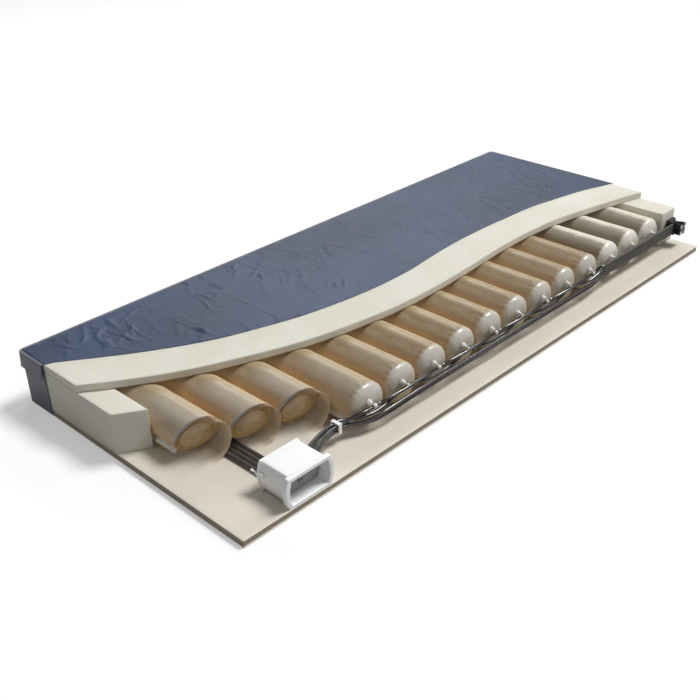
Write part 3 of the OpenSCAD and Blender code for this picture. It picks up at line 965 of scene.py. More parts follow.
@dataclass
class Slab:
    """A foam or skin layer: straight on three sides, with any line along its near side.

    Attributes:
        box: The frame node's box.
        near: Y of the near side for each X.
        radius: Rounding of its edges.
        wobble: How uneven its surface is.
        step: Distance between its stations along X.
        seed: Picks the unevenness.
    """

    box: Box
    near: Callable[[np.ndarray], np.ndarray]
    radius: float = 2.5 * MM
    wobble: float = 0.5 * MM
    step: float = 12 * MM
    seed: int = 3

    def section(self, x: float, inset: float) -> np.ndarray:
        """The outline at one X, drawn in by an inset."""
        y0 = float(self.near(np.array([x]))[0]) + inset
        y1 = self.box.high.y - inset
        z0, z1 = self.box.low.z + inset, self.box.high.z - inset
        r = max(self.radius - inset, 0.05 * MM)
        arc = np.linspace(0, math.pi / 2, 4)
        across = np.concatenate([np.linspace(0, 0.3, 15), np.linspace(0.3, 1, 9)[1:]])[1:-1]
        top = y0 + r + across * (y1 - y0 - 2 * r)
        rows = [(y0 + r - r * math.cos(a), z1 - r + r * math.sin(a)) for a in arc]
        rows += [(y, z1) for y in top]
        rows += [(y1 - r + r * math.sin(a), z1 - r + r * math.cos(a)) for a in arc]
        rows += [(y1 - r + r * math.cos(a), z0 + r - r * math.sin(a)) for a in arc]
        rows += [(y, z0) for y in top[::-1]]
        rows += [(y0 + r - r * math.sin(a), z0 + r - r * math.cos(a)) for a in arc]
        rows += [(y0, z) for z in np.linspace(z0 + r, z1 - r, 5)[1:-1]]
        return np.array([(x, y, z) for y, z in rows])

    def shell(self) -> Shell:
        """The layer's closed shell."""
        x0, x1, r = self.box.low.x, self.box.high.x, self.radius
        ends = [(r * (1 - math.cos(a)), r * (1 - math.sin(a))) for a in np.linspace(0, math.pi / 2, 4)]
        rings = [self.section(x0 + dx, inset) for dx, inset in ends]
        count = max(2, round((x1 - x0) / self.step))
        rings += [self.section(x, 0.0) for x in np.linspace(x0 + r, x1 - r, count)[1:-1]]
        rings += [self.section(x1 - dx, inset) for dx, inset in ends[::-1]]
        return Shell().loft(rings).move(self.unsettle)

    def unsettle(self, points: np.ndarray) -> np.ndarray:
        """Makes the surface a little uneven, inwards only."""
        middle = np.array([0, *self.box.middle[1:]])
        inward = np.sign(middle - points) * np.array([0, 1, 1])
        size = 0.5 + 0.5 * np.clip(ripple(points, 0.16, self.seed), -1, 1)
        return points + inward * (self.wobble * size)[:, None]


@dataclass
class Base:
    """The laminated base: a foam sheet between two coated skins.

    Attributes:
        rim: How far its near edge wanders.
    """

    rim: float = 0.7 * MM

    def build(self) -> None:
        """Makes the three layers."""
        rows = (
            ("base_bottom_skin", "bottom_skin", Finishes.base, "base_fabric"),
            ("base_foam_sheet", "core_sheet", Finishes.core_foam, "base_foam"),
            ("base_top_skin", "top_skin", Finishes.base, "base_fabric"),
        )
        for seed, (node, name, finish, slot) in enumerate(rows):
            box = Box.of(node)
            layer = Slab(box, self.edge(box.low.y, seed), 1.4 * MM, 0.15 * MM, 14 * MM, seed)
            piece = dress(layer.shell().piece(name, finish), slot, node)

    def edge(self, low: float, seed: int) -> Callable[[np.ndarray], np.ndarray]:
        """The near edge of a layer, which wanders a little."""
        def line(x: np.ndarray) -> np.ndarray:
            spots = np.column_stack([x, x * 0, x * 0])
            return low + self.rim * (0.5 + 0.5 * ripple(spots, 0.5, 40 + seed))
        return line


@dataclass
class FoamCore:
    """The end blocks, the far side bolster and the layer over the cells.

    Attributes:
        soft_edge: Rounding of the foam's edges.
    """

    soft_edge: float = 2.6 * MM

    def build(self) -> None:
        """Makes the four foam pieces."""
        foot, head = Box.of("foot_foam_block"), Box.of("head_foam_block")
        side, top = Box.of("side_foam_bolster"), Box.of("foam_topper")
        rows = (
            ("foot_foam_block", "foot_block", foot, edge_of("foot_foam_block")),
            ("head_foam_block", "head_block", head, lambda x: x * 0 + head.low.y),
            ("side_foam_bolster", "side_bolster", side, lambda x: x * 0 + side.low.y),
            ("foam_topper", "topper", top, edge_of("foam_topper")),
        )
        for seed, (node, name, box, near) in enumerate(rows, 7):
            layer = Slab(box, near, self.soft_edge, 0.5 * MM, 10 * MM, seed)
            dress(layer.shell().piece(name, Finishes.foam), "foam", node)


# ---- cover ------------------------------------------------------------------------------


def spread(values: np.ndarray, old: np.ndarray, new: np.ndarray) -> np.ndarray:
    """Carries rows of values smoothly from old stations to new ones.

    Args:
        values: One row for each old station.
        old: The old stations, rising.
        new: The new stations, within the old ones' span.

    Returns:
        One row for each new station.
    """
    spot = np.clip(np.searchsorted(old, new, side="right") - 1, 0, len(old) - 2)
    wide = (-1, *[1] * (values.ndim - 1))
    gap = (old[spot + 1] - old[spot]).reshape(wide)
    t = (new - old[spot]).reshape(wide) / gap
    slope = np.gradient(values, old, axis=0)
    start = (1 + 2 * t) * (1 - t) ** 2 * values[spot] + t * (1 - t) ** 2 * gap * slope[spot]
    return start + t**2 * (3 - 2 * t) * values[spot + 1] + t**2 * (t - 1) * gap * slope[spot + 1]


@dataclass(frozen=True)
class Creases:
    """Groups of creases scattered over the panel.

    Attributes:
        groups: How many groups.
        each: Creases in a group.
        height: Height of the tallest.
        width: Half width of a crease.
        length: Half length of the longest.
        lean: The way most of them run, in degrees from X.
        scatter: How far a group spreads.
        seed: Picks their places.
    """

    groups: int
    each: int
    height: float
    width: float
    length: float
    lean: float
    scatter: float
    seed: int

    def lift(self, points: np.ndarray) -> np.ndarray:
        """How high the creases stand at some points."""
        rng = np.random.default_rng(self.seed)
        total = np.zeros(len(points))
        for _ in range(self.groups):
            middle = rng.uniform((-0.95, -0.2), (0.95, 0.42))
            lean = math.radians(self.lean) + rng.normal() * 0.3
            for _ in range(self.each):
                way = lean + rng.normal() * 0.35
                spot = middle + rng.normal(size=2) * self.scatter * np.array([0.6, 1.0])
                reach = self.length * rng.uniform(0.35, 1.0)
                bend = rng.normal() * 1.6
                tall = self.height * rng.uniform(0.35, 1.0)
                off = points[:, :2] - spot
                along = off[:, 0] * math.cos(way) + off[:, 1] * math.sin(way)
                across = off[:, 1] * math.cos(way) - off[:, 0] * math.sin(way) + bend * along**2
                share = across / (self.width * rng.uniform(0.8, 1.3))
                fade = np.clip(1 - (along / reach) ** 2, 0, 1)
                total += tall * fade * (np.exp(-(share**2)) - 0.35 * np.exp(-((share - 1.7) ** 2)))
        return total


@dataclass
class Cover:
    """The coated cover: top panel, skirt, welded seam, zip flap and its stitches.

    Attributes:
        cloth: Thickness of the cloth.
        corner: Radius of the corners in plan.
        seam: Radius of the welded seam's bead.
        step: Distance between the points along the skirt and the flap.
        slack: Share by which the panel's cloth is longer than the foam under it.
        sim_frames: How many frames the cloth takes to settle.
        tallest: Height of the tallest wrinkle.
        creases: The groups of creases on the panel.
        hang: The flap's section in mm, as distance out from the skirt and height.
        stitch_rows: Heights of the flap's two rows of stitches, in mm.
    """

    cloth: float = 1.2 * MM
    corner: float = 9 * MM
    seam: float = 1.7 * MM
    step: float = 11 * MM
    slack: float = 0.04
    sim_frames: int = 26
    tallest: float = 9 * MM
    creases: tuple[Creases, ...] = (
        Creases(20, 8, 3.4 * MM, 5.0 * MM, 0.05, 68.0, 0.05, 12),
        Creases(10, 6, 2.4 * MM, 6.0 * MM, 0.09, 80.0, 0.08, 31),
        Creases(6, 2, 2.0 * MM, 18 * MM, 0.24, 55.0, 0.12, 47),
    )
    hang: tuple[tuple[float, float], ...] = (
        (0.2, 155.0), (1.6, 156.4), (3.6, 156.0), (5.0, 153.0), (5.2, 146.0), (5.6, 137.0),
        (6.2, 128.0), (7.0, 120.0), (8.0, 113.4),
    )
    stitch_rows: tuple[float, float] = (150.5, 146.5)

    def build(self) -> None:
        """Makes the cover's pieces."""
        self.side = Box.of("cover_side_border")
        self.foot_cut = Box.of("cover_foot_border").low.y
        self.head_cut = Box.of("cover_head_border").low.y
        self.top_panel()
        self.skirt()
        self.flap()

    def outline(self, out: float) -> tuple[np.ndarray, np.ndarray]:
        """The skirt's line in plan, from the foot cut round the far side to the head cut.

        Args:
            out: How far outside the skirt's own middle the line runs.

        Returns:
            The points, at height 0, and the outward directions at them.
        """
        x1 = self.side.high.x - MM
        y1 = self.side.high.y - MM
        r = self.corner
        spots: list[tuple[float, float, float, float]] = []
        for y in np.arange(self.foot_cut, y1 - r, self.step):
            spots.append((-x1, y, -1, 0))
        for a in np.linspace(0, math.pi / 2, 7):
            c, s = math.cos(a), math.sin(a)
            spots.append((-x1 + r - r * c, y1 - r + r * s, -c, s))
        for x in np.arange(-x1 + r + self.step, x1 - r, self.step):
            spots.append((x, y1, 0, 1))
        for a in np.linspace(0, math.pi / 2, 7):
            c, s = math.cos(a), math.sin(a)
            spots.append((x1 - r + r * s, y1 - r + r * c, s, c))
        for y in np.arange(y1 - r - self.step, self.head_cut, -self.step):
            spots.append((x1, y, 1, 0))
        spots.append((x1, self.head_cut, 1, 0))
        rows = np.array(spots)
        normals = np.column_stack([rows[:, 2:], np.zeros(len(rows))])
        points = np.column_stack([rows[:, :2], np.zeros(len(rows))])
        return points + normals * out, normals

    def top_panel(self) -> None:
        """The top panel, with its wrinkles."""
        panel = Box.of("cover_top_panel")
        near = edge_of("cover_top_panel")
        x0, x1 = panel.low.x + MM, panel.high.x - MM
        coarse = self.stations(x0, x1, 0.010, 60)
        fine = self.stations(x0, x1, 0.0056, 106)
        rings = self.flat_rings(panel, near, fine)
        flat = np.array(rings)
        shift = np.zeros_like(flat)
        buckled = self.crumple(self.flat_rings(panel, near, coarse), panel.middle.z)
        across = spread(buckled, coarse[0], fine[0]).swapaxes(0, 1)
        shift = spread(across, coarse[1], fine[1]).swapaxes(0, 1)
        points = flat.reshape(-1, 3)
        rim = np.minimum.reduce([points[:, 0] - x0, x1 - points[:, 0], panel.high.y - MM - points[:, 1]])
        hold = np.clip((rim - 4 * MM) / (30 * MM), 0, 1)
        shift = shift.reshape(-1, 3)
        shift[:, 2] += hold * sum(crease.lift(points) for crease in self.creases)
        shift[:, 2] = np.clip(shift[:, 2], -0.2 * MM, self.tallest)
        LOG.info("highest wrinkle %.1f mm", shift[:, 2].max() / MM)
        shell = Shell().loft(rings, closed=False, caps=False).move(lambda p: p + shift)
        sheet = shell.piece("top_panel", Finishes.cover, 80, solid=False)
        dress(thicken(sheet, self.cloth, 0.0), "cover_fabric", "cover_top_panel")
        spots = np.linspace(x0, x1, 101)
        widths = panel.high.y - MM - near(spots)

    def stations(self, x0: float, x1: float, step: float, count: int) -> tuple[np.ndarray, np.ndarray]:
        """The panel's stations: X of its rows, and shares of the way over each row."""
        margin = np.array([0.0, 2.0, 5.0, 9.0]) * MM
        along = np.concatenate([x0 + margin, np.arange(x0 + 0.015, x1 - 0.015, step), (x1 - margin)[::-1]])
        return along, np.concatenate([np.linspace(0, 0.985, count), [0.993, 0.997, 1.0]])

    def flat_rings(
        self, panel: Box, near: Callable[[np.ndarray], np.ndarray], stations: tuple[np.ndarray, np.ndarray]
    ) -> Rings:
        """The panel's rows before it wrinkles, turned down a little along its rim."""
        y1 = panel.high.y - MM
        x0, x1 = stations[0][0], stations[0][-1]
        rings = []
        for x in stations[0]:
            y0 = float(near(np.array([x]))[0])
            y = y0 + stations[1] * (y1 - y0)
            rim = np.minimum.reduce([np.full_like(y, x - x0), np.full_like(y, x1 - x), y1 - y])
            drop = 2.2 * MM * np.clip(1 - rim / (7 * MM), 0, 1) ** 2
            rings.append(np.column_stack([np.full_like(y, x), y, panel.middle.z - drop]))
        return rings

    def crumple(self, rings: Rings, level: float) -> np.ndarray:
        """Lets spare cloth buckle into wrinkles on the foam.

        Args:
            rings: The flat panel's rows.
            level: Height of its middle.

        Returns:
            How far each point moves, row by row.
        """
        scene = bpy.context.scene
        flat = np.concatenate(rings)
        start = flat.copy()
        start[:, 2] += 0.5 * MM * np.abs(ripple(flat, 0.09, 11))
        mesh = bpy.data.meshes.new("cloth_grid")
        wide = len(rings[0])
        quads = [
            (i * wide + j, i * wide + j + 1, (i + 1) * wide + j + 1, (i + 1) * wide + j)
            for i in range(len(rings) - 1) for j in range(wide - 1)
        ]
        mesh.from_pydata(start.tolist(), [], quads)
        sheet = bpy.data.objects.new("cloth_grid", mesh)
        scene.collection.objects.link(sheet)
        held = sheet.vertex_groups.new(name="held")
        rim = np.minimum.reduce(
            [flat[:, 0] - flat[:, 0].min(), flat[:, 0].max() - flat[:, 0], flat[:, 1].max() - flat[:, 1]]
        )
        held.add([int(i) for i in np.flatnonzero(rim < 12 * MM)], 1.0, "REPLACE")
        rest = Shell().loft(
            [np.array([(x, -0.6, level - 0.9 * MM), (x, 0.6, level - 0.9 * MM)]) for x in (-1.2, 1.2)],
            closed=False, caps=False,
        ).piece("rest_plane", Finishes.foam, solid=False)
        rest.modifiers.new("Collision", "COLLISION")
        rest.collision.thickness_outer = 0.5 * MM
        cloth = sheet.modifiers.new("Cloth", "CLOTH")
        cloth.settings.quality = 5
        cloth.settings.mass = 0.12
        cloth.settings.tension_stiffness = 20
        cloth.settings.compression_stiffness = 20
        cloth.settings.shear_stiffness = 12
        cloth.settings.bending_stiffness = 0.3
        cloth.settings.shrink_min = -self.slack
        cloth.settings.vertex_group_mass = "held"
        cloth.collision_settings.distance_min = 0.6 * MM
        cloth.point_cache.frame_start = 1
        cloth.point_cache.frame_end = self.sim_frames
        for number in range(1, self.sim_frames + 1):
            scene.frame_set(number)
        shaped = sheet.evaluated_get(bpy.context.evaluated_depsgraph_get())
        moved = np.array([v.co[:] for v in shaped.data.vertices])
        bpy.data.objects.remove(sheet)
        bpy.data.objects.remove(rest)
        scene.frame_set(1)
        shift = np.clip(moved - flat, [-5 * MM, -5 * MM, -0.2 * MM], [5 * MM, 5 * MM, self.tallest])
        LOG.info("cloth settled, highest buckle %.1f mm", shift[:, 2].max() / MM)
        return shift.reshape(len(rings), wide, 3)

    def skirt(self) -> None:
        """The border that hangs down the foot end, the far side and the head end."""
        points, normals = self.outline(0.0)
        z0, z1 = self.side.low.z, self.side.high.z - 1.2 * MM
        heights = np.concatenate([[z1, z1 - 2 * MM], np.linspace(z1 - 6 * MM, z0 + 2 * MM, 16), [z0]])
        rings = []
        for point, normal in zip(points, normals):
            column = point + np.outer(heights, (0, 0, 1))
            swell = 0.6 + 0.5 * ripple(column, 0.14, 21)
            share = np.clip((z1 - heights) / 0.02, 0, 1)
            rings.append(column + normal * (MM * swell * share)[:, None])
        shell = Shell().loft(rings, closed=False, caps=False)
        sheet = shell.piece("skirt", Finishes.lightened_side_cloth, 80, solid=False)
        nodes = ("cover_side_border", "cover_foot_border", "cover_head_border")
        dress(thicken(sheet, self.cloth, 0.0), "cover_fabric", *nodes)
        run = float(np.linalg.norm(np.diff(points, axis=0), axis=1).sum())
        bead = points + np.array([0, 0, z1 + 0.4 * MM])
        seam = grow(Rule.TUBE, "top_seam", [bead], Finishes.lightened_side_cloth, Radius=self.seam, Sides=10)
        dress(seam, "cover_fabric")

    def flap(self) -> None:
        """The flap that hangs over the zip, and the stitches that hold it."""
        points, normals = self.outline(MM)
        section = np.array(self.hang) * MM
        rings = []
        for point, normal in zip(points, normals):
            column = point + np.outer(section[:, 0], normal) + np.outer(section[:, 1], (0, 0, 1))
            wave = MM * 1.3 * ripple(column, 0.2, 31) * np.linspace(0, 1, len(section)) ** 2
            rings.append(column + normal * wave[:, None])
        shell = Shell().loft(rings, closed=False, caps=False)
        sheet = shell.piece("zip_flap", Finishes.lightened_side_cloth, 80, solid=False)
        nodes = ("cover_flap_side", "cover_flap_foot", "cover_flap_head")
        dress(thicken(sheet, self.cloth, 0.0), "cover_fabric", *nodes)
        run = float(np.linalg.norm(np.diff(points, axis=0), axis=1).sum())
        thread = [(-1.1, 0.1), (-0.8, 0.28), (0.8, 0.28), (1.1, 0.1)]
        stitch = Shell().loft(turned(thread, (0, 0, 0), (0, 0, 1), 6)).piece("stitch", Finishes.thread)
        line, _ = self.outline(5.1 * MM + self.cloth + 0.4 * MM)
        rows = [line + np.array([0, 0, z * MM]) for z in self.stitch_rows]
        made = grow(Rule.ROW, "flap_stitches", rows, Finishes.thread, Shape=stitch, Spacing=3.6 * MM)
        dress(made, "cover_fabric")


@dataclass
class ZipFastener:
    """The zip along the far side: tape, coil and slider.

    Attributes:
        pitch: Distance between the coil's turns.
    """

    pitch: float = 2.4 * MM

    def build(self) -> None:
        """Makes the zip."""
        tape, coil = Box.of("zip_tape"), Box.of("zip_coil")
        strip = Slab(tape, lambda x: x * 0 + tape.low.y, 0.28 * MM, 0.0, 20 * MM)
        piece = dress(strip.shell().piece("tape", Finishes.tape), "zip_tape", "zip_tape")
        tooth = Shell()
        for side in (-1, 1):
            y = side * 1.4 * MM
            along = side * 0.6 * MM
            bead = [(-1.5, 0.1), (-1.2, 0.55), (1.2, 0.55), (1.5, 0.1)]
            tooth.loft(turned(bead, (0, y, along), (0, 1, 0), 6))
        shape = tooth.piece("tooth", Finishes.coil)
        line = np.array([(x, coil.middle.y, coil.middle.z) for x in np.linspace(coil.low.x, coil.high.x, 40)])
        teeth = grow(Rule.ROW, "zip_teeth", [line], Finishes.coil, Shape=shape, Spacing=self.pitch)
        dress(teeth, "zip_coil", "zip_coil")
        slider = soften("zip_slider", "slider_body", Finishes.metal, 0.5 * MM)
        dress(slider, "zip_metal", "zip_slider", body="slider")


# ---- air cells --------------------------------------------------------------------------


@dataclass
class AirCell:
    """One inflated tube across the mattress, whole or cut open at its near end.

    Attributes:
        axis: A point on the cell's axis, at Y 0.
        radius: The cell's radius.
        half: Half its length.
        dome: Height of its domed end.
        soft: How far the rounding of the end runs on into the wall.
        power: How square the end's rounding is; 2 is an ellipse.
        cut: Y where a cut crosses the axis, or None for a whole cell.
        lean, turn: How far the cut leans back and turns, in degrees.
        sides: Points round the cell.
        seed: Picks the film's unevenness.
        coolness: How far the cool colour shows on its top.
        bulge: How far the film across a cut end swells out.
        crimp: Depth of the weld groove round that film.
        lip: Width of the film that turns in at an open cut.
    """

    axis: Vector
    radius: float
    half: float
    dome: float = 17 * MM
    soft: float = 9 * MM
    power: float = 2.5
    cut: float | None = None
    lean: float = 21.0
    turn: float = 16.0
    sides: int = 96
    seed: int = 1
    coolness: float = 0.0
    bulge: float = 7 * MM
    crimp: float = 2.5 * MM
    lip: float = 11 * MM

    def slope(self) -> np.ndarray:
        """How the cut's Y changes with X and Z off the axis."""
        lean, turn = math.radians(self.lean), math.radians(self.turn)
        normal = (math.cos(lean) * math.sin(turn), math.cos(lean) * math.cos(turn), math.sin(lean))
        return np.array([-normal[0] / normal[1], 0, -normal[2] / normal[1]])

    def circle(self, radius: float) -> np.ndarray:
        """A ring round the axis, at Y 0."""
        return lathe([(0, radius)], self.axis, (0, 1, 0), self.sides)[0]

    def slant(self, ring: np.ndarray) -> np.ndarray:
        """Y of the cut at a ring's points."""
        return self.cut + (ring - np.array(self.axis)) @ self.slope()

    def end(self, sign: int) -> Rings:
        """Rings of a domed end, from its tip to the weld ring."""
        depth = self.dome + self.soft
        profile = []
        for share in (0.0, 0.1, 0.22, 0.36, 0.5, 0.62, 0.72, 0.8, 0.87, 0.92, 0.96, 0.985, 1.0):
            profile.append((depth * (1 - (1 - share**self.power) ** (1 / self.power)), share * self.radius))
        profile += [(depth + t * MM, self.radius + r * MM) for t, r in ((1.2, 0.5), (2.4, 0.6), (3.6, 0.0))]
        start = self.axis + Vector((0, sign * self.half, 0))
        return lathe(profile, start, (0, -sign, 0), self.sides)

    def barrel(self, near: np.ndarray | float, far: float, shares: np.ndarray) -> Rings:
        """Rings of the round wall between two ends; the near end may slant."""
        rings = []
        for share in shares:
            ring = self.circle(self.radius)
            ring[:, 1] = (1 - share) * near + share * far
            rings.append(ring)
        return rings

    def swell(self, points: np.ndarray) -> np.ndarray:
        """Puckers the film by the weld rings and makes its wall a little uneven."""
        middle = np.array([self.axis.x, 0, self.axis.z])
        off = (points - middle) * np.array([1, 0, 1])
        reach = np.linalg.norm(off, axis=1)
        turn = np.arctan2(off[:, 2], off[:, 0])
        inward = self.half - np.abs(points[:, 1])
        depth = self.dome + self.soft
        away = np.abs(inward - depth)
        fold = 0.5 + 0.5 * np.cos(22 * turn + 3.0 * ripple(points, 0.07, self.seed + 50))
        pucker = 1.5 * MM * np.exp(-away / (13 * MM)) * fold * (reach / self.radius) ** 4
        wave = 0.6 * MM * ripple(points, 0.2, self.seed) * np.clip(inward / depth, 0, 1)
        grown = wave - pucker - 0.5 * MM * (reach > 0)
        out = points + off / np.maximum(reach, 1e-6)[:, None] * grown[:, None]
        uneven = 0.5 + 0.5 * ripple(points, 0.05, self.seed + 90)
        dimple = 1.6 * MM * np.clip(1 - inward / depth, 0, 1) * uneven
        out[:, 1] -= np.sign(points[:, 1]) * np.abs(dimple)
        return out

    def marks(self, piece: bpy.types.Object, foam_edge: Callable[[np.ndarray], np.ndarray]) -> None:
        """Writes what the film's finish reads.

        Args:
            piece: The cell's piece.
            foam_edge: Y of the foam's edge for each X; the painted glow is stronger close to it.
        """
        p = corners(piece)
        turn = np.arctan2(p[:, 2] - self.axis.z, p[:, 0] - self.axis.x) / math.pi
        round_mark = np.where(turn < -0.5, 1.0, np.clip(turn, 0, 1))
        inward = self.half - np.abs(p[:, 1])
        depth = self.dome + self.soft
        cap = np.clip((depth - inward) / (6 * MM), 0, 1)
        reach = np.clip((foam_edge(p[:, 0]) - p[:, 1]) / 0.17, 0, 1)
        # The glow mark places a painted glow, standing in for light through the film: on the foot-side flank,
        # near the foam and a little on the head side of the top.
        flank = np.clip((round_mark - 0.68) / 0.3, 0, 1) ** 1.5
        crown = np.clip((0.36 - round_mark) / 0.2, 0, 1)
        near_foam = (1 - reach) ** 2
        by_foam = 0.7 * near_foam * (0.3 + flank)
        glow = np.clip(flank * (0.3 + 0.7 * (1 - reach)) + by_foam + 0.2 * crown, 0, 1)
        mark(piece, "round", round_mark)
        mark(piece, "cap", cap)
        mark(piece, "glow", glow * (1 - 0.7 * cap))
        band = np.clip(1 - np.abs(round_mark - 0.62) / 0.26, 0, 1)
        mark(piece, "cool", self.coolness * band * np.clip(reach * 1.6, 0, 1))

    def shell(self, closed: bool = False) -> Shell:
        """The film's shell.

        Args:
            closed: Whether a cut cell has a film across its cut end.

        Returns:
            The shell, open at the cut unless it is closed.
        """
        shares = np.concatenate(
            [np.linspace(0, 0.12, 9), np.linspace(0.12, 0.88, 26)[1:], np.linspace(0.88, 1, 9)[1:]]
        )
        inner = self.half - self.dome - self.soft - 5 * MM
        far = self.end(1)[::-1]
        if self.cut is None:
            rings = [*self.end(-1), *self.barrel(-inner, inner, shares)[1:-1], *far]
        else:
            slant = self.slant(self.circle(self.radius))
            front = self.face() if closed else [self.lip_edge()]
            rings = [*front, *self.barrel(slant, inner, shares)[:-1], *far]
        rings = [self.match(ring) for ring in rings]
        return Shell().loft([ring[::-1] for ring in rings], caps=False).move(self.swell)

    def lip_edge(self) -> np.ndarray:
        """The inner edge of the turned-in lip, which is widest high on the foot side."""
        circle = self.circle(self.radius)
        off = (circle - np.array(self.axis)) / self.radius
        toward = np.clip(off @ np.array([-0.82, 0.0, 0.57]), 0, 1)
        circle -= off * (0.3 * MM + self.lip * toward**2.5)[:, None]
        circle[:, 1] = self.slant(circle) - 0.4 * MM
        return circle

    def face(self) -> Rings:
        """Rings of the film across the cut end, from its middle to its rim."""
        rings = []
        for share in (0.0, 0.12, 0.3, 0.5, 0.7, 0.82, 0.88, 0.92, 0.96, 0.985):
            circle = self.circle(share * self.radius)
            lift = self.bulge * (1 - share**2.4)
            dip = self.crimp * math.exp(-(((share - 0.9) / 0.04) ** 2))
            circle[:, 1] = self.slant(circle) - lift + dip
            rings.append(circle)
        return rings

    def match(self, ring: np.ndarray) -> np.ndarray:
        """Puts a ring's points in the same order round the axis as all the others."""
        up, along = ring[:, 2] - self.axis.z, ring[:, 0] - self.axis.x
        if np.hypot(up, along).max() < 1e-9:
            return ring
        return ring[np.argsort(np.arctan2(up, along))]


@dataclass
class AirCells:
    """The row of air cells, with the inner cells, the clear sleeves and the weld fins.

    Attributes:
        count: How many cells there are.
        amber: How many of them, from the foot end, are amber.
        cuts: Y of each open cell's cut on its axis.
        sleeve_ends: Y where the clear sleeves end.
        inner_drop: How far an inner cell's axis lies below the outer one's.
        film: Thickness of the film.
        fin_lean: How far the weld fins slope down, in degrees.
        fin_width: How far they stand out.
        fin_margin: How far short of the cell's ends they stop.
    """

    count: int = 15
    amber: int = 12
    cuts: tuple[float, ...] = (-0.113, -0.172, -0.205)
    sleeve_ends: tuple[float, ...] = (-0.176, -0.216, -0.262)
    inner_drop: float = 5 * MM
    film: float = 1.0 * MM
    fin_lean: float = 35.0
    fin_width: float = 10.6 * MM
    fin_margin: float = 21 * MM

    def build(self) -> None:
        """Makes all the cells."""
        for number in range(1, self.count + 1):
            self.outer(number)
        for number in range(1, len(self.cuts) + 1):
            self.inner(number)
        self.sleeves()
        self.fins()

    def cell(self, number: int) -> AirCell:
        """The outer cell's sizes, from the frame."""
        whole = Box.of("air_cell_05")
        box = Box.of(f"air_cell_{number:02d}")
        axis = Vector((box.middle.x, 0, whole.middle.z))
        cut = self.cuts[number - 1] if number <= len(self.cuts) else None
        coolness = {1: 1.0, 2: 1.0, 3: 0.9, 4: 0.6, 5: 0.25}.get(number, 0.0)
        radius = (whole.high.x - whole.low.x) / 2
        return AirCell(axis, radius, whole.high.y, cut=cut, seed=number, coolness=coolness)

    def outer(self, number: int) -> None:
        """One outer cell."""
        node = f"air_cell_{number:02d}"
        amber = number <= self.amber
        finish = Finishes.amber if amber else Finishes.pale
        cell = self.cell(number)
        piece = cell.shell().piece(f"cell_{number:02d}", finish, 50, solid=cell.cut is None)
        cell.marks(piece, edge_of("foam_topper"))
        if cell.cut is not None:
            self.line(piece, Finishes.inside, Finishes.cut_edge, cell.sides)
        dress(piece, "amber_film" if amber else "static_film", node)

    def inner(self, number: int) -> None:
        """The inner cell that shows in an open one."""
        cell = self.cell(number)
        box = Box.of(f"inner_cell_{number:02d}")
        inner = AirCell(
            cell.axis - Vector((0, 0, self.inner_drop)), (box.high.x - box.low.x) / 2, box.high.y,
            14 * MM, cut=self.cuts[number - 1] + 3 * MM, seed=number + 30,
        )
        piece = inner.shell(closed=True).piece(f"inner_{number:02d}", Finishes.inner, 50)
        dress(piece, "inner_film", f"inner_cell_{number:02d}")

    def line(self, piece: bpy.types.Object, lining: Finish, rim: Finish, lip_faces: int) -> None:
        """Thickens a cut cell inwards, with its own finish inside and along the cut."""
        piece.data.materials.append(lining.material())
        piece.data.materials.append(rim.material())
        for face in list(piece.data.polygons)[:lip_faces]:
            face.material_index = 2
        thicken(piece, self.film)
        piece.modifiers["Thickness"].material_offset = 1
        piece.modifiers["Thickness"].material_offset_rim = 2

    def sleeves(self) -> None:
        """The clear film tubes past the three cuts."""
        shell = Shell()
        for number, end in enumerate(self.sleeve_ends, 1):
            cell = self.cell(number)
            circle = cell.circle(cell.radius - 0.2 * MM)
            slant = cell.slant(circle) - 0.5 * MM
            halfway, wall = 0.5 * (slant + end), self.film
            rings = []
            outside = ((slant, 0), (halfway, 0), (end, 0))
            inside = ((end, wall), (halfway, wall), (slant, wall))
            for y, r in (*outside, *inside):
                ring = circle.copy()
                ring[:, 1] = y
                off = (ring - np.array(cell.axis)) * np.array([1, 0, 1])
                rings.append(ring - off / cell.radius * r)
            shell.loft([*rings, rings[0]], caps=False)
        piece = shell.piece("sleeves", Finishes.clear, 50)
        mark(piece, "veil", self.veil(corners(piece)))
        dress(piece, "clear_film", "clear_sleeves")

    def veil(self, points: np.ndarray) -> np.ndarray:
        """How dense the clear film looks: thin over the top and foot side, smoky elsewhere."""
        seen = np.zeros(len(points))
        for number, end in enumerate(self.sleeve_ends, 1):
            cell = self.cell(number)
            turn = np.degrees(np.arctan2(points[:, 2] - cell.axis.z, points[:, 0] - cell.axis.x))
            smoky = np.clip((75 - turn) / 25, 0, 1) * np.clip((turn + 95) / 50, 0, 1)
            rim = np.clip(1 - (points[:, 1] - end) / (2.5 * MM), 0, 1)
            here = np.abs(points[:, 0] - cell.axis.x) < cell.radius + MM
            seen = np.where(here, 0.03 + 0.36 * smoky + 0.3 * rim * smoky, seen)
        return seen

    def fins(self) -> None:
        """The flat weld fin low on the foot side of every cell."""
        shell = Shell()
        turn = math.radians(self.fin_lean)
        out = np.array([-math.cos(turn), 0, -math.sin(turn)])
        up = np.array([-math.sin(turn), 0, math.cos(turn)])
        for number in range(1, self.count + 1):
            cell = self.cell(number)
            y0 = -cell.half + self.fin_margin if cell.cut is None else cell.cut + 20 * MM
            rings = []
            for y in np.linspace(y0, cell.half - self.fin_margin, 70):
                base = np.array([cell.axis.x, y, cell.axis.z])
                wave = 0.7 * MM * math.sin(y * 90 + number)
                tip = cell.radius + self.fin_width + 0.5 * MM * math.sin(y * 210)
                rings.append(np.array([
                    base + out * (cell.radius - MM) + up * 0.5 * MM,
                    base + out * (tip - MM) + up * (0.6 * MM + wave),
                    base + out * tip + up * wave,
                    base + out * (tip - MM) + up * (wave - 0.6 * MM),
                    base + out * (cell.radius - MM) - up * 0.5 * MM,
                ]))
            shell.loft(rings)
        dress(shell.piece("weld_fins", Finishes.weld), "weld_film", "cell_weld_flanges")


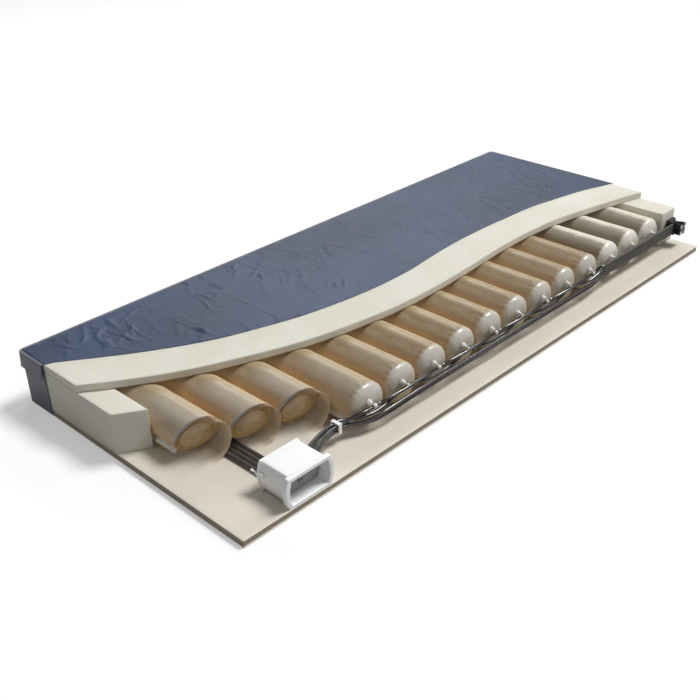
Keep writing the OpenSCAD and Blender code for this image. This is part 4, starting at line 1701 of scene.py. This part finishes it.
# ---- air lines --------------------------------------------------------------------------


@dataclass
class AirLines:
    """The ports, T-connectors and hoses along the near side, and the lines on the far side.

    Attributes:
        hose: Diameter of a hose.
        arm: Length of a T-connector's arm.
        grip: How far a hose is pushed onto an arm.
        over, under: How a hose passes a T-connector that it skips, as a step in Y and in Z.
        line_y: Y of the row of T-connectors.
        cells: The whole cells, which have a port each.
    """

    hose: float = 9 * MM
    arm: float = 11 * MM
    grip: float = 6 * MM
    over: tuple[float, float] = (-12 * MM, 8 * MM)
    under: tuple[float, float] = (-5 * MM, -12 * MM)
    line_y: float = -352 * MM
    cells: range = range(4, 16)

    def build(self) -> None:
        """Makes the fittings and the hoses."""
        self.feed = Vector((0, self.line_y, Box.of("air_cell_05").middle.z + 2 * MM))
        self.centres = {k: Box.of(f"air_cell_{k:02d}").middle.x for k in range(1, 16)}
        self.port = Vector((-15 * MM, 0, 17 * MM))
        self.fittings()
        self.hoses()
        self.far_side()

    def spots(self) -> np.ndarray:
        """Where the T-connectors sit."""
        return np.array([(self.centres[k], self.feed.y, self.feed.z) for k in self.cells])

    def fittings(self) -> None:
        """T-connectors, clear links and cell ports, one shape of each set out on the cells."""
        half = [(0.1, 11), (2.4, 11), (2.9, 10.6), (3.9, 9), (3.2, 8.8), (3.9, 7), (3.2, 6.8), (3.9, 5.2),
                (5.2, 5), (5.6, 4.4), (5.2, 2)]
        arm = [(-t, r) for r, t in half] + [(t, r) for r, t in reversed(half)]
        way = Vector((self.port.x, 0, self.port.z)).normalized()
        riser = [(0, 4.6), (5.4, 4.6), (5.6, 5.2), (6.6, 5.2), (6.8, 4.2), (8.6, 4.0), (9, 3.4)]
        tee = Shell().loft(turned(arm, (0, 0, 0), (1, 0, 0), 24))
        tee.loft(turned(riser, (0, -MM, 0), way, 20))
        self.set_out(tee, "tee", "tees", Finishes.fitting, "white_fitting", "t_connectors")

        long = self.port.length / MM
        tube = [(7.4, 2.2), (7.4, 3.2), (long * 0.7, 3.1), (long - 4.6, 3.3), (long - 4.6, 2.2)]
        link = Shell().loft(turned(tube, (0, -MM, 0), way, 18))
        self.set_out(link, "link", "links", Finishes.link, "clear_tube", "port_links")

        plate = [(0, 0.2), (0, 3.4), (0.8, 4.4), (1.6, 4.5), (6.2, 4.5), (7.0, 6.0), (7.4, 7.8), (8.6, 8.0),
                 (10.8, 8.0), (12.4, 7.6), (13, 0.2)]
        port = Shell().loft(turned(plate, self.port - Vector((0, 5.5 * MM, 0)), (0, 1, 0), 28))
        self.set_out(port, "port", "ports", Finishes.fitting, "white_fitting", "cell_ports")

    def set_out(self, shape: Shell, one: str, name: str, finish: Finish, slot: str, node: str) -> None:
        """Sets a shape out at every T-connector and dresses the result.

        Args:
            shape: The shape, round the origin.
            one: A name for the single shape.
            name: The name of the set.
            finish: What it is finished in.
            slot: The frame's slot, which is passed on but not used.
            node: The frame node that the set stands for.
        """
        single = shape.piece(one, finish)
        dress(grow(Rule.SPOTS, name, [self.spots()], finish, Shape=single), slot, node)

    def skip(self, k: int, lift: tuple[float, float]) -> list[tuple[float, float, float]]:
        """A hose from one T-connector to the next but one, past the one between."""
        y0, z0 = self.feed.y, self.feed.z
        y1, z1 = y0 + lift[0], z0 + lift[1]
        a, b, c = self.centres[k], self.centres[k + 1], self.centres[k + 2]
        near, straight, mid = self.arm - self.grip, self.arm + 8 * MM, 42 * MM
        return [
            (a + near, y0, z0), (a + straight, y0, z0), (a + mid, (y0 + y1) / 2, (z0 + z1) / 2),
            (b - 30 * MM, y1, z1), (b + 30 * MM, y1, z1),
            (c - mid, (y0 + y1) / 2, (z0 + z1) / 2), (c - straight, y0, z0), (c - near, y0, z0),
        ]

    def routes(self) -> dict[str, list[list[tuple[float, float, float]]]]:
        """The hoses' routes, in metres, by frame node."""
        def mm(*points: tuple[float, float, float]) -> list[tuple[float, float, float]]:
            return [(x * MM, y * MM, z * MM) for x, y, z in points]
        a_start = mm(
            (-748, -366, 70), (-722, -366, 70), (-690, -354, 71), (-650, -340, 69), (-618, -334, 68),
            (-594, -334, 68), (-565, -340, 73), (-537, -350, 78), (-515, -352, 79), (-501, -352, 79),
        )
        a_end = mm(
            (491, -352, 79), (502, -352, 79), (508, -353, 85), (516, -358, 93), (524, -364, 93),
            (531, -364, 93),
        )
        b_start = mm(
            (-748, -346, 70), (-722, -346, 70), (-690, -336, 70), (-650, -325, 69), (-618, -321, 68),
            (-594, -321, 68), (-575, -327, 67), (-545, -345, 66), (-515, -355, 66), (-475, -357, 67),
            (-430, -354, 74), (-394, -352, 79), (-379, -352, 79),
        )
        b_end = mm(
            (369, -352, 79), (383, -352, 79), (404, -357, 76), (440, -362, 73), (470, -365, 76),
            (497, -365, 81), (523, -364, 83), (531, -364, 83),
        )
        static_in = mm(
            (-748, -366, 54), (-722, -366, 54), (-690, -354, 55), (-650, -340, 56), (-618, -334, 56),
            (-594, -334, 56), (-570, -341, 56), (-540, -356, 56), (-510, -366, 60), (-470, -372, 65),
            (-380, -372, 67), (380, -372, 67), (450, -372, 66), (490, -368, 70), (522, -364, 73),
            (531, -364, 73),
        )
        static_out = mm(
            (859, -352, 79), (873, -352, 79), (900, -349, 79), (930, -346, 79), (940, -346, 79),
            (949, -346, 79),
        )
        sensing_in = mm(
            (-748, -346, 54), (-722, -346, 54), (-690, -336, 55), (-650, -325, 56), (-618, -321, 56),
            (-594, -321, 56), (-570, -328, 52), (-540, -343, 46), (-510, -360, 47), (-470, -370, 53),
            (-380, -371, 56), (380, -371, 56), (450, -371, 56), (490, -368, 60), (522, -364, 63),
            (531, -364, 63),
        )
        level = (self.feed.y, self.feed.z)
        near = self.arm - self.grip
        joins = [
            [(self.centres[k] + near, *level), (self.centres[k + 1] - near, *level)] for k in (13, 14)
        ]
        return {
            "feed_hose_a": [a_start, *[self.skip(k, self.over) for k in (4, 6, 8, 10)], a_end],
            "feed_hose_b": [b_start, *[self.skip(k, self.under) for k in (5, 7, 9)], b_end],
            "static_hose": [static_in, *joins, static_out],
            "sensing_hose": [sensing_in],
        }

    def hoses(self) -> None:
        """The four hoses along the near side."""
        names = {
            "feed_hose_a": "hose_a", "feed_hose_b": "hose_b", "static_hose": "hose_static",
            "sensing_hose": "hose_sensing",
        }
        for node, runs in self.routes().items():
            lines = [smooth_path(run, 7 * MM) for run in runs]
            made = grow(Rule.TUBE, names[node], lines, Finishes.hose, Radius=self.hose / 2, Sides=18)
            dress(made, "black_hose", node)
        clip = soften("hose_clip", "clip", Finishes.fitting, 0.9 * MM)
        dress(clip, "white_fitting", "hose_clip")

    def far_side(self) -> None:
        """The line that feeds the inner cells, its ports and its manifold."""
        pipe = Box.of("inner_feed_line")
        y, z = pipe.middle.y, pipe.high.z - self.hose / 2
        riser_x = (self.centres[1] + self.centres[2]) / 2
        lines = [
            np.array([(x, y, z) for x in np.linspace(pipe.low.x, pipe.high.x, 60)]),
            np.array([(riser_x, y, h) for h in np.linspace(pipe.low.z, z, 6)]),
        ]
        made = grow(Rule.TUBE, "inner_line", lines, Finishes.ribbon, Radius=self.hose / 2, Sides=16)
        dress(made, "ribbon_rubber", "inner_feed_line")
        ports = Box.of("inner_ports")
        profile = [(0, 0.3), (0, 6.6), (0.4, 7.0), (1.3, 7.0), (1.6, 6.6), (1.7, 3.4), (3.2, 3.2), (3.2, 0.3)]
        nipple = Shell().loft(turned(profile, (0, 0, 0), (0, 1, 0), 24))
        shape = nipple.piece("nipple", Finishes.fitting)
        spots = np.array([(self.centres[k], ports.low.y, z) for k in range(1, 13)])
        made = grow(Rule.SPOTS, "far_nipples", [spots], Finishes.fitting, Shape=shape)
        dress(made, "white_fitting", "inner_ports")
        block = soften("far_manifold", "manifold", Finishes.fitting, 1.0 * MM)
        dress(block, "white_fitting", "far_manifold")


@dataclass
class Ribbons:
    """The two four-tube ribbons.

    Attributes:
        web: Half the thickness of the web between the tubes.
    """

    web: float = 2 * MM

    def outline(self, pitch: float, radius: float) -> list[tuple[float, float]]:
        """Four circles in a row joined by a thin web, as across and up."""
        bite = math.asin(self.web / radius)
        half: list[tuple[float, float]] = []
        for i in range(4):
            start = math.pi if i == 0 else math.pi - bite
            stop = 0.0 if i == 3 else bite
            centre = (i - 1.5) * pitch
            for a in np.linspace(start, stop, 12):
                half.append((centre + radius * math.cos(a), radius * math.sin(a)))
        return half + [(x, -y) for x, y in half[-2:0:-1]]

    def build(self) -> None:
        """Makes both ribbons."""
        foot, head = Box.of("foot_ribbon"), Box.of("head_ribbon")
        tube = (foot.high.z - foot.low.z) / 2
        pitch = (foot.high.x - foot.low.x - 2 * tube) / 3
        shape = self.outline(pitch, tube)
        rings = []
        for y in np.linspace(foot.low.y, foot.high.y, 110):
            sway = 0.6 * MM * math.sin(y * 17)
            rings.append(np.array([(foot.middle.x + a + sway, y, foot.middle.z + b) for a, b in shape]))
        piece = Shell().loft(rings).piece("ribbon_foot", Finishes.ribbon, 60)
        dress(piece, "ribbon_rubber", "foot_ribbon")
        tube = (head.high.y - head.low.y) / 2
        pitch = (head.high.z - head.low.z - 2 * tube) / 3
        shape = self.outline(pitch, tube)
        rings = []
        for x in np.linspace(head.low.x, head.high.x, 80):
            rings.append(np.array([(x, head.middle.y + b, head.middle.z + a) for a, b in shape]))
        piece = Shell().loft(rings).piece("ribbon_head", Finishes.ribbon, 60)
        dress(piece, "ribbon_rubber", "head_ribbon")


# ---- hose connector ---------------------------------------------------------------------


@dataclass
class HoseConnector:
    """The white housing that takes the pump's plug, with its port block, seals and release pin.

    Attributes:
        flange, body, rim: Half width at the top, half width at the middle, low and high Z, in mm.
        socket, inner: The same for the opening, and for the block at its back.
        corner: Rounding of the outline's corners, in mm.
        ports: The three air ports, as distance from the middle and Z, in mm.
        hose_exits: Y and Z of the four hose collars on its side, in mm.
        ribbon_z: Z of the ribbon's collars, in mm.
        ribbon_pitch: Distance between them, in mm.
    """

    flange: tuple[float, float, float, float] = (65, 76, 20, 102)
    body: tuple[float, float, float, float] = (55, 66, 23, 101)
    rim: tuple[float, float, float, float] = (59, 69, 20, 103)
    socket: tuple[float, float, float, float] = (55, 62, 27, 91)
    inner: tuple[float, float, float, float] = (54.7, 61.7, 27.3, 90.7)
    corner: float = 2.6
    ports: tuple[tuple[float, float], ...] = ((-30, 62), (0, 54), (30, 62))
    hose_exits: tuple[tuple[float, float], ...] = ((-366, 70), (-346, 70), (-366, 54), (-346, 54))
    ribbon_z: float = 27.7
    ribbon_pitch: float = 14.5

    def build(self) -> None:
        """Makes the connector's pieces."""
        box = Box.of("connector_housing")
        self.front, self.back = box.low.y / MM, box.high.y / MM
        self.x = Box.of("connector_port_block").middle.x / MM
        self.housing()
        self.port_block()
        self.pin()

    def ring(self, size: tuple[float, float, float, float], y: float, out: float = 0.0) -> np.ndarray:
        """The barrel outline at one Y: flat top and bottom, bowed sides, rounded corners.

        Args:
            size: Half width at the top and at the middle, and the low and high Z, in mm.
            y: Where the ring stands, in mm.
            out: How far it is grown outwards, in mm.

        Returns:
            The ring's points, in metres.
        """
        top, mid, z0, z1 = size[0] + out, size[1] + out, size[2] - out, size[3] + out
        rise, bow = (z1 - z0) / 2, mid - top
        r = (rise**2 + bow**2) / (2 * bow)
        reach = math.asin(rise / r)
        c = self.corner / r
        level = (z0 + z1) / 2
        flat = np.linspace(-1, 1, 13)
        quarter: list[tuple[float, float]] = [(t * (top - self.corner), rise) for t in flat]
        a = reach - c
        tip, side = (top, rise), (mid - r + r * math.cos(a), r * math.sin(a))
        begin = (top - self.corner, rise)
        quarter += self.bend(begin, tip, side)
        for angle in np.linspace(a, -a, 17):
            quarter.append((mid - r + r * math.cos(angle), r * math.sin(angle)))
        below = [(x, -z) for x, z in self.bend(begin, tip, side)]
        quarter += below[::-1]
        half = quarter + [(-t * (top - self.corner), -rise) for t in flat]
        mirrored = [(-x, z) for x, z in quarter[13:]][::-1]
        outline = half + mirrored
        return np.array([(self.x + x, y, level + z) for x, z in outline]) * MM

    @staticmethod
    def bend(
        begin: tuple[float, float], tip: tuple[float, float], side: tuple[float, float]
    ) -> list[tuple[float, float]]:
        """The inner points of a rounded corner between two places, pulled towards its tip."""
        inside = np.linspace(0, 1, 7)[1:-1]
        return [
            tuple((1 - t) ** 2 * p + 2 * t * (1 - t) * q + t * t * s for p, q, s in zip(begin, tip, side))
            for t in inside
        ]

    def housing(self) -> None:
        """The housing, from the bottom of its socket round the front lip to its back."""
        f, b = self.front, self.back
        lip = [(1 - math.cos(a), 1 - math.sin(a)) for a in np.linspace(0, math.pi / 2, 5)]
        rings = [self.ring(self.socket, f + y, out) for y, out in ((40, 0.0), (20, 0.1), (4, 0.3))]
        rings += [self.ring(self.socket, f + 1.4 * s, 0.3 + 1.4 * c) for c, s in lip]
        rings += [self.ring(self.flange, f + 1.6 * c, -1.6 * s) for c, s in lip]
        rings += [self.ring(self.flange, f + 11), self.ring(self.flange, f + 12, -1.0)]
        rings += [self.ring(self.body, f + 12.2, 1.6), self.ring(self.body, f + 14, 0.2)]
        rings += [self.ring(self.body, y) for y in np.linspace(f + 18, b - 11, 6)]
        rings += [self.ring(self.body, b - 8.6, 0.4)]
        rim = ((8, -0.8), (7.2, 0.0), (2.5, 0.0), (0.7, -0.7), (0, -2.5))
        rings += [self.ring(self.rim, b - y, out) for y, out in rim]
        shell = Shell().loft(rings)
        lug = [(0, 1), (0, 4.2), (0.8, 5), (22, 5), (23.4, 4.6), (24, 2.6), (18, 2.5), (18, 0.2)]
        start = np.array([self.x - 68, b - 24, 72]) * MM
        shell.loft(turned(lug, start, (0, 1, 0), 28))
        ribbon_x = Box.of("foot_ribbon").middle.x / MM
        collar = [(0, 6.0), (0, 7.6), (2.2, 7.6), (3, 7.0), (3, 6.0), (0, 6.0)]
        for i in range(4):
            spot = (ribbon_x + (i - 1.5) * self.ribbon_pitch, b - 0.5, self.ribbon_z)
            shell.loft(turned(collar, np.array(spot) * MM, (0, 1, 0), 20), caps=False)
        collar = [(0, 4.6), (0, 6.2), (1.8, 6.2), (2.6, 5.6), (2.6, 4.6), (0, 4.6)]
        for y, z in self.hose_exits:
            spot = (self.x + 65 - 0.011 * (z - 62) ** 2, y, z)
            shell.loft(turned(collar, np.array(spot) * MM, (1, 0, 0), 20), caps=False)
        piece = shell.piece("housing", Finishes.housing, 35)
        dress(piece, "white_housing", "connector_housing")

    def port_block(self) -> None:
        """The block at the back of the socket, its three bored ports and their seals."""
        block = Box.of("connector_port_block")
        front = block.low.y / MM + 6
        steps = ((5, -1.0), (5, 0), (0.8, 0), (0.2, -0.3), (0, -1.0))
        shell = Shell().loft([self.ring(self.inner, front + y, out) for y, out in steps])
        seals = Shell()
        boss = [(12, 4.0), (0.8, 4.0), (0.2, 4.3), (0, 4.9), (0, 6.6), (0.4, 7.3), (1.0, 7.5), (1.8, 7.5),
                (2.0, 6.5), (4.0, 6.5), (4.2, 7.5), (5.4, 7.5), (6.0, 9.2), (6.1, 9.2)]
        loop = [(3 + 1.1 * math.cos(a), 7.5 + 1.1 * math.sin(a)) for a in np.linspace(0, math.tau, 13)]
        for dx, z in self.ports:
            start = np.array([self.x + dx, front - 6, z]) * MM
            shell.loft(turned(boss, start, (0, 1, 0), 40))
            seals.loft(turned(loop, start, (0, 1, 0), 40), caps=False)
        dress(shell.piece("port_block", Finishes.grey, 35), "grey_plastic", "connector_port_block")
        dress(seals.piece("seals", Finishes.seal), "seal_rubber", "port_seals")

    def pin(self) -> None:
        """The release pin, with a rounded, ringed head."""
        box = Box.of("release_pin")
        long = (box.high.y - box.low.y) / MM
        head = [(4.2, 2.2), (4, 3.0), (3.6, 3.4), (2.6, 3.4), (2.3, 3.1), (2.0, 3.4), (0.8, 3.4), (0.2, 2.8),
                (0, 1.4), (0, 0.2)]
        profile = [(0, 0.2), (0, 1.8), (0.4, 2.2), *[(long - t, r) for t, r in head]]
        start = (box.middle.x, box.low.y, box.middle.z)
        shell = Shell().loft(turned(profile, start, (0, 1, 0), 28))
        dress(shell.piece("pin_turned", Finishes.housing), "white_housing", "release_pin", body="pin")


@dataclass
class ReleaseValve:
    """The quick release valve at the head end: plate, body, knob, spindle and vent rings.

    Attributes:
        rounding: The unit that the pieces' edge roundings are shares of.
    """

    rounding: float = 1.0 * MM

    def build(self) -> None:
        """Makes the valve's pieces."""
        rows = (
            ("cpr_plate", "valve_plate", Finishes.black, "black_plastic", ROOT, 1.2),
            ("cpr_body", "valve_body", Finishes.black, "black_plastic", ROOT, 0.8),
            ("cpr_knob", "valve_knob", Finishes.black, "black_plastic", "knob", 0.7),
            ("cpr_spindle", "valve_spindle", Finishes.metal, "steel", "knob", 0.4),
            ("cpr_tube_ends", "vent_rings", Finishes.fitting, "clear_tube", "knob", 0.3),
        )
        for node, name, finish, slot, body, width in rows:
            dress(soften(node, name, finish, width * self.rounding), slot, node, body=body)


# ---- studio -----------------------------------------------------------------------------


@dataclass(frozen=True)
class FloorPaint:
    """Pale floor paint, lit a little from within, that throws back less light than it shows.

    Attributes:
        seen: How pale it looks.
        thrown: How much light it throws back on the mattress.
        lit: How much light it gives off where it is looked at.
    """

    seen: float = 0.66
    thrown: float = 0.42
    lit: float = 0.36

    def material(self) -> bpy.types.Material:
        """The floor's material."""
        made = bpy.data.materials.new("floor_paint")
        made.use_nodes = True
        made.node_tree.nodes.clear()
        g = Graph(made.node_tree)
        place = g.add("ShaderNodeTexCoord").outputs["Object"]
        drift = g.add("ShaderNodeTexNoise", {"Vector": place, "Scale": 1.4, "Detail": 2.0}).outputs["Fac"]
        tone = {"Value": drift, "To Min": self.seen - 0.015, "To Max": self.seen}
        share = g.add("ShaderNodeMapRange", tone)
        straight = g.add("ShaderNodeLightPath").outputs["Is Camera Ray"]
        level = g.add("ShaderNodeMix", {0: straight, 2: self.thrown, 3: share.outputs[0]}).outputs[0]
        shader = g.add(
            "ShaderNodeBsdfPrincipled",
            {
                "Base Color": level, "Roughness": 0.9, "Emission Color": (1, 1, 1, 1),
                "Emission Strength": g.math("MULTIPLY", straight, self.lit),
            },
        )
        g.add("ShaderNodeOutputMaterial", {"Surface": shader.outputs[0]})
        return made


@dataclass(frozen=True)
class Lamp:
    """A soft rectangular lamp that faces a point.

    Attributes:
        name: Its name.
        place: Where it hangs.
        aim: The point that it faces.
        size: Its width and height.
        power: Its power, in watts.
    """

    name: str
    place: tuple[float, float, float]
    aim: tuple[float, float, float]
    size: tuple[float, float]
    power: float

    def build(self) -> None:
        """Makes the lamp."""
        data = bpy.data.lights.new(self.name, "AREA")
        data.shape = "RECTANGLE"
        data.size, data.size_y = self.size
        data.energy = self.power
        made = bpy.data.objects.new(self.name, data)
        made.location = self.place
        facing = Vector(self.aim) - Vector(self.place)
        made.rotation_euler = facing.to_track_quat("-Z", "Y").to_euler()
        bpy.context.scene.collection.objects.link(made)


@dataclass
class Studio:
    """The floor, the lights and the camera.

    Attributes:
        eye: Where the camera stands.
        ahead: The way it looks.
        right: The way that lies to its right.
        lens: Its focal length on a 36 mm sensor.
        key_from: Where the key light comes from.
        key: The key light's strength.
        softness: How wide the key light looks, in degrees.
        fill: The strength of the light from all round.
        backdrop: How bright the surroundings look.
        floor_reach: How far the floor runs each way from the middle.
        lamps: The soft lamps.
    """

    eye: tuple[float, float, float] = (-1.98725, -1.76184, 1.43783)
    ahead: tuple[float, float, float] = (0.610981, 0.610412, -0.504083)
    right: tuple[float, float, float] = (0.695502, -0.718035, -0.026501)
    lens: float = 51.37
    key_from: tuple[float, float, float] = (0.5, -0.2, 0.84)
    key: float = 2.7
    softness: float = 20.0
    fill: float = 0.14
    backdrop: float = 0.95
    floor_reach: float = 8.0
    lamps: tuple[Lamp, ...] = (
        Lamp("back_sheen", (2.9, 3.0, 2.5), (0.0, 0.1, 0.1), (3.0, 1.4), 46),
        Lamp("front_fill", (-0.2, -3.2, 1.3), (-0.1, -0.2, 0.1), (2.2, 1.0), 9),
        Lamp("foot_fill", (-3.6, 0.6, 0.9), (-1.0, 0.1, 0.1), (1.2, 0.8), 7),
        Lamp("head_fill", (1.9, -1.0, 1.9), (0.8, -0.2, 0.1), (1.0, 0.8), 9),
    )

    def build(self) -> None:
        """Makes the studio."""
        self.camera()
        self.floor()
        self.sun()
        for lamp in self.lamps:
            lamp.build()
        self.surround()
        bpy.context.scene.view_settings.view_transform = "Standard"

    def surround(self) -> None:
        """The world: a white backdrop where it is looked at, and a faint fill light elsewhere."""
        world = bpy.data.worlds.new("studio")
        world.use_nodes = True
        g = Graph(world.node_tree)
        backdrop = world.node_tree.nodes["Background"]
        straight = g.add("ShaderNodeLightPath").outputs["Is Camera Ray"]
        level = g.add("ShaderNodeMix", {0: straight, 2: self.fill, 3: self.backdrop}).outputs[0]
        backdrop.inputs["Color"].default_value = (1, 1, 1, 1)
        world.node_tree.links.new(level, backdrop.inputs["Strength"])
        bpy.context.scene.world = world

    def camera(self) -> None:
        """The camera, at the angle of the reference view."""
        data = bpy.data.cameras.new("camera")
        data.lens = self.lens
        data.sensor_width = 36
        data.clip_end = 50
        made = bpy.data.objects.new("camera", data)
        ahead = Vector(self.ahead).normalized()
        right = Vector(self.right)
        right = (right - ahead * right.dot(ahead)).normalized()
        up = right.cross(ahead)
        turn = Matrix((right, up, -ahead)).transposed()
        made.matrix_world = Matrix.Translation(self.eye) @ turn.to_4x4()
        bpy.context.scene.collection.objects.link(made)
        bpy.context.scene.camera = made

    def floor(self) -> None:
        """A plain pale floor."""
        far, z = self.floor_reach, -0.4 * MM
        edges = [np.array([(x, -far, z), (x, far, z)]) for x in (far, -far)]
        made = Shell().loft(edges, closed=False, caps=False).piece("floor", FloorPaint(), solid=False)

    def sun(self) -> None:
        """The key light, soft and high on the head end's near side."""
        data = bpy.data.lights.new("key", "SUN")
        data.energy = self.key
        data.angle = math.radians(self.softness)
        made = bpy.data.objects.new("key", data)
        made.rotation_euler = (-Vector(self.key_from)).to_track_quat("-Z", "Y").to_euler()
        bpy.context.scene.collection.objects.link(made)


def main() -> None:
    """Builds everything in order."""
    logging.basicConfig(level=logging.INFO, format="%(name)s: %(message)s")
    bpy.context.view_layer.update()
    for part in (
        Studio(), Base(), FoamCore(), AirCells(), Cover(), ZipFastener(), AirLines(), Ribbons(),
        HoseConnector(), ReleaseValve(),
    ):
        LOG.info("building %s", type(part).__name__)
        part.build()
    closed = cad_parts["inner_cells_closed"].data
    closed.materials.clear()
    closed.materials.append(Finishes.inner.material())
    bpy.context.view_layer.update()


if __name__ == "__main__":
    main()
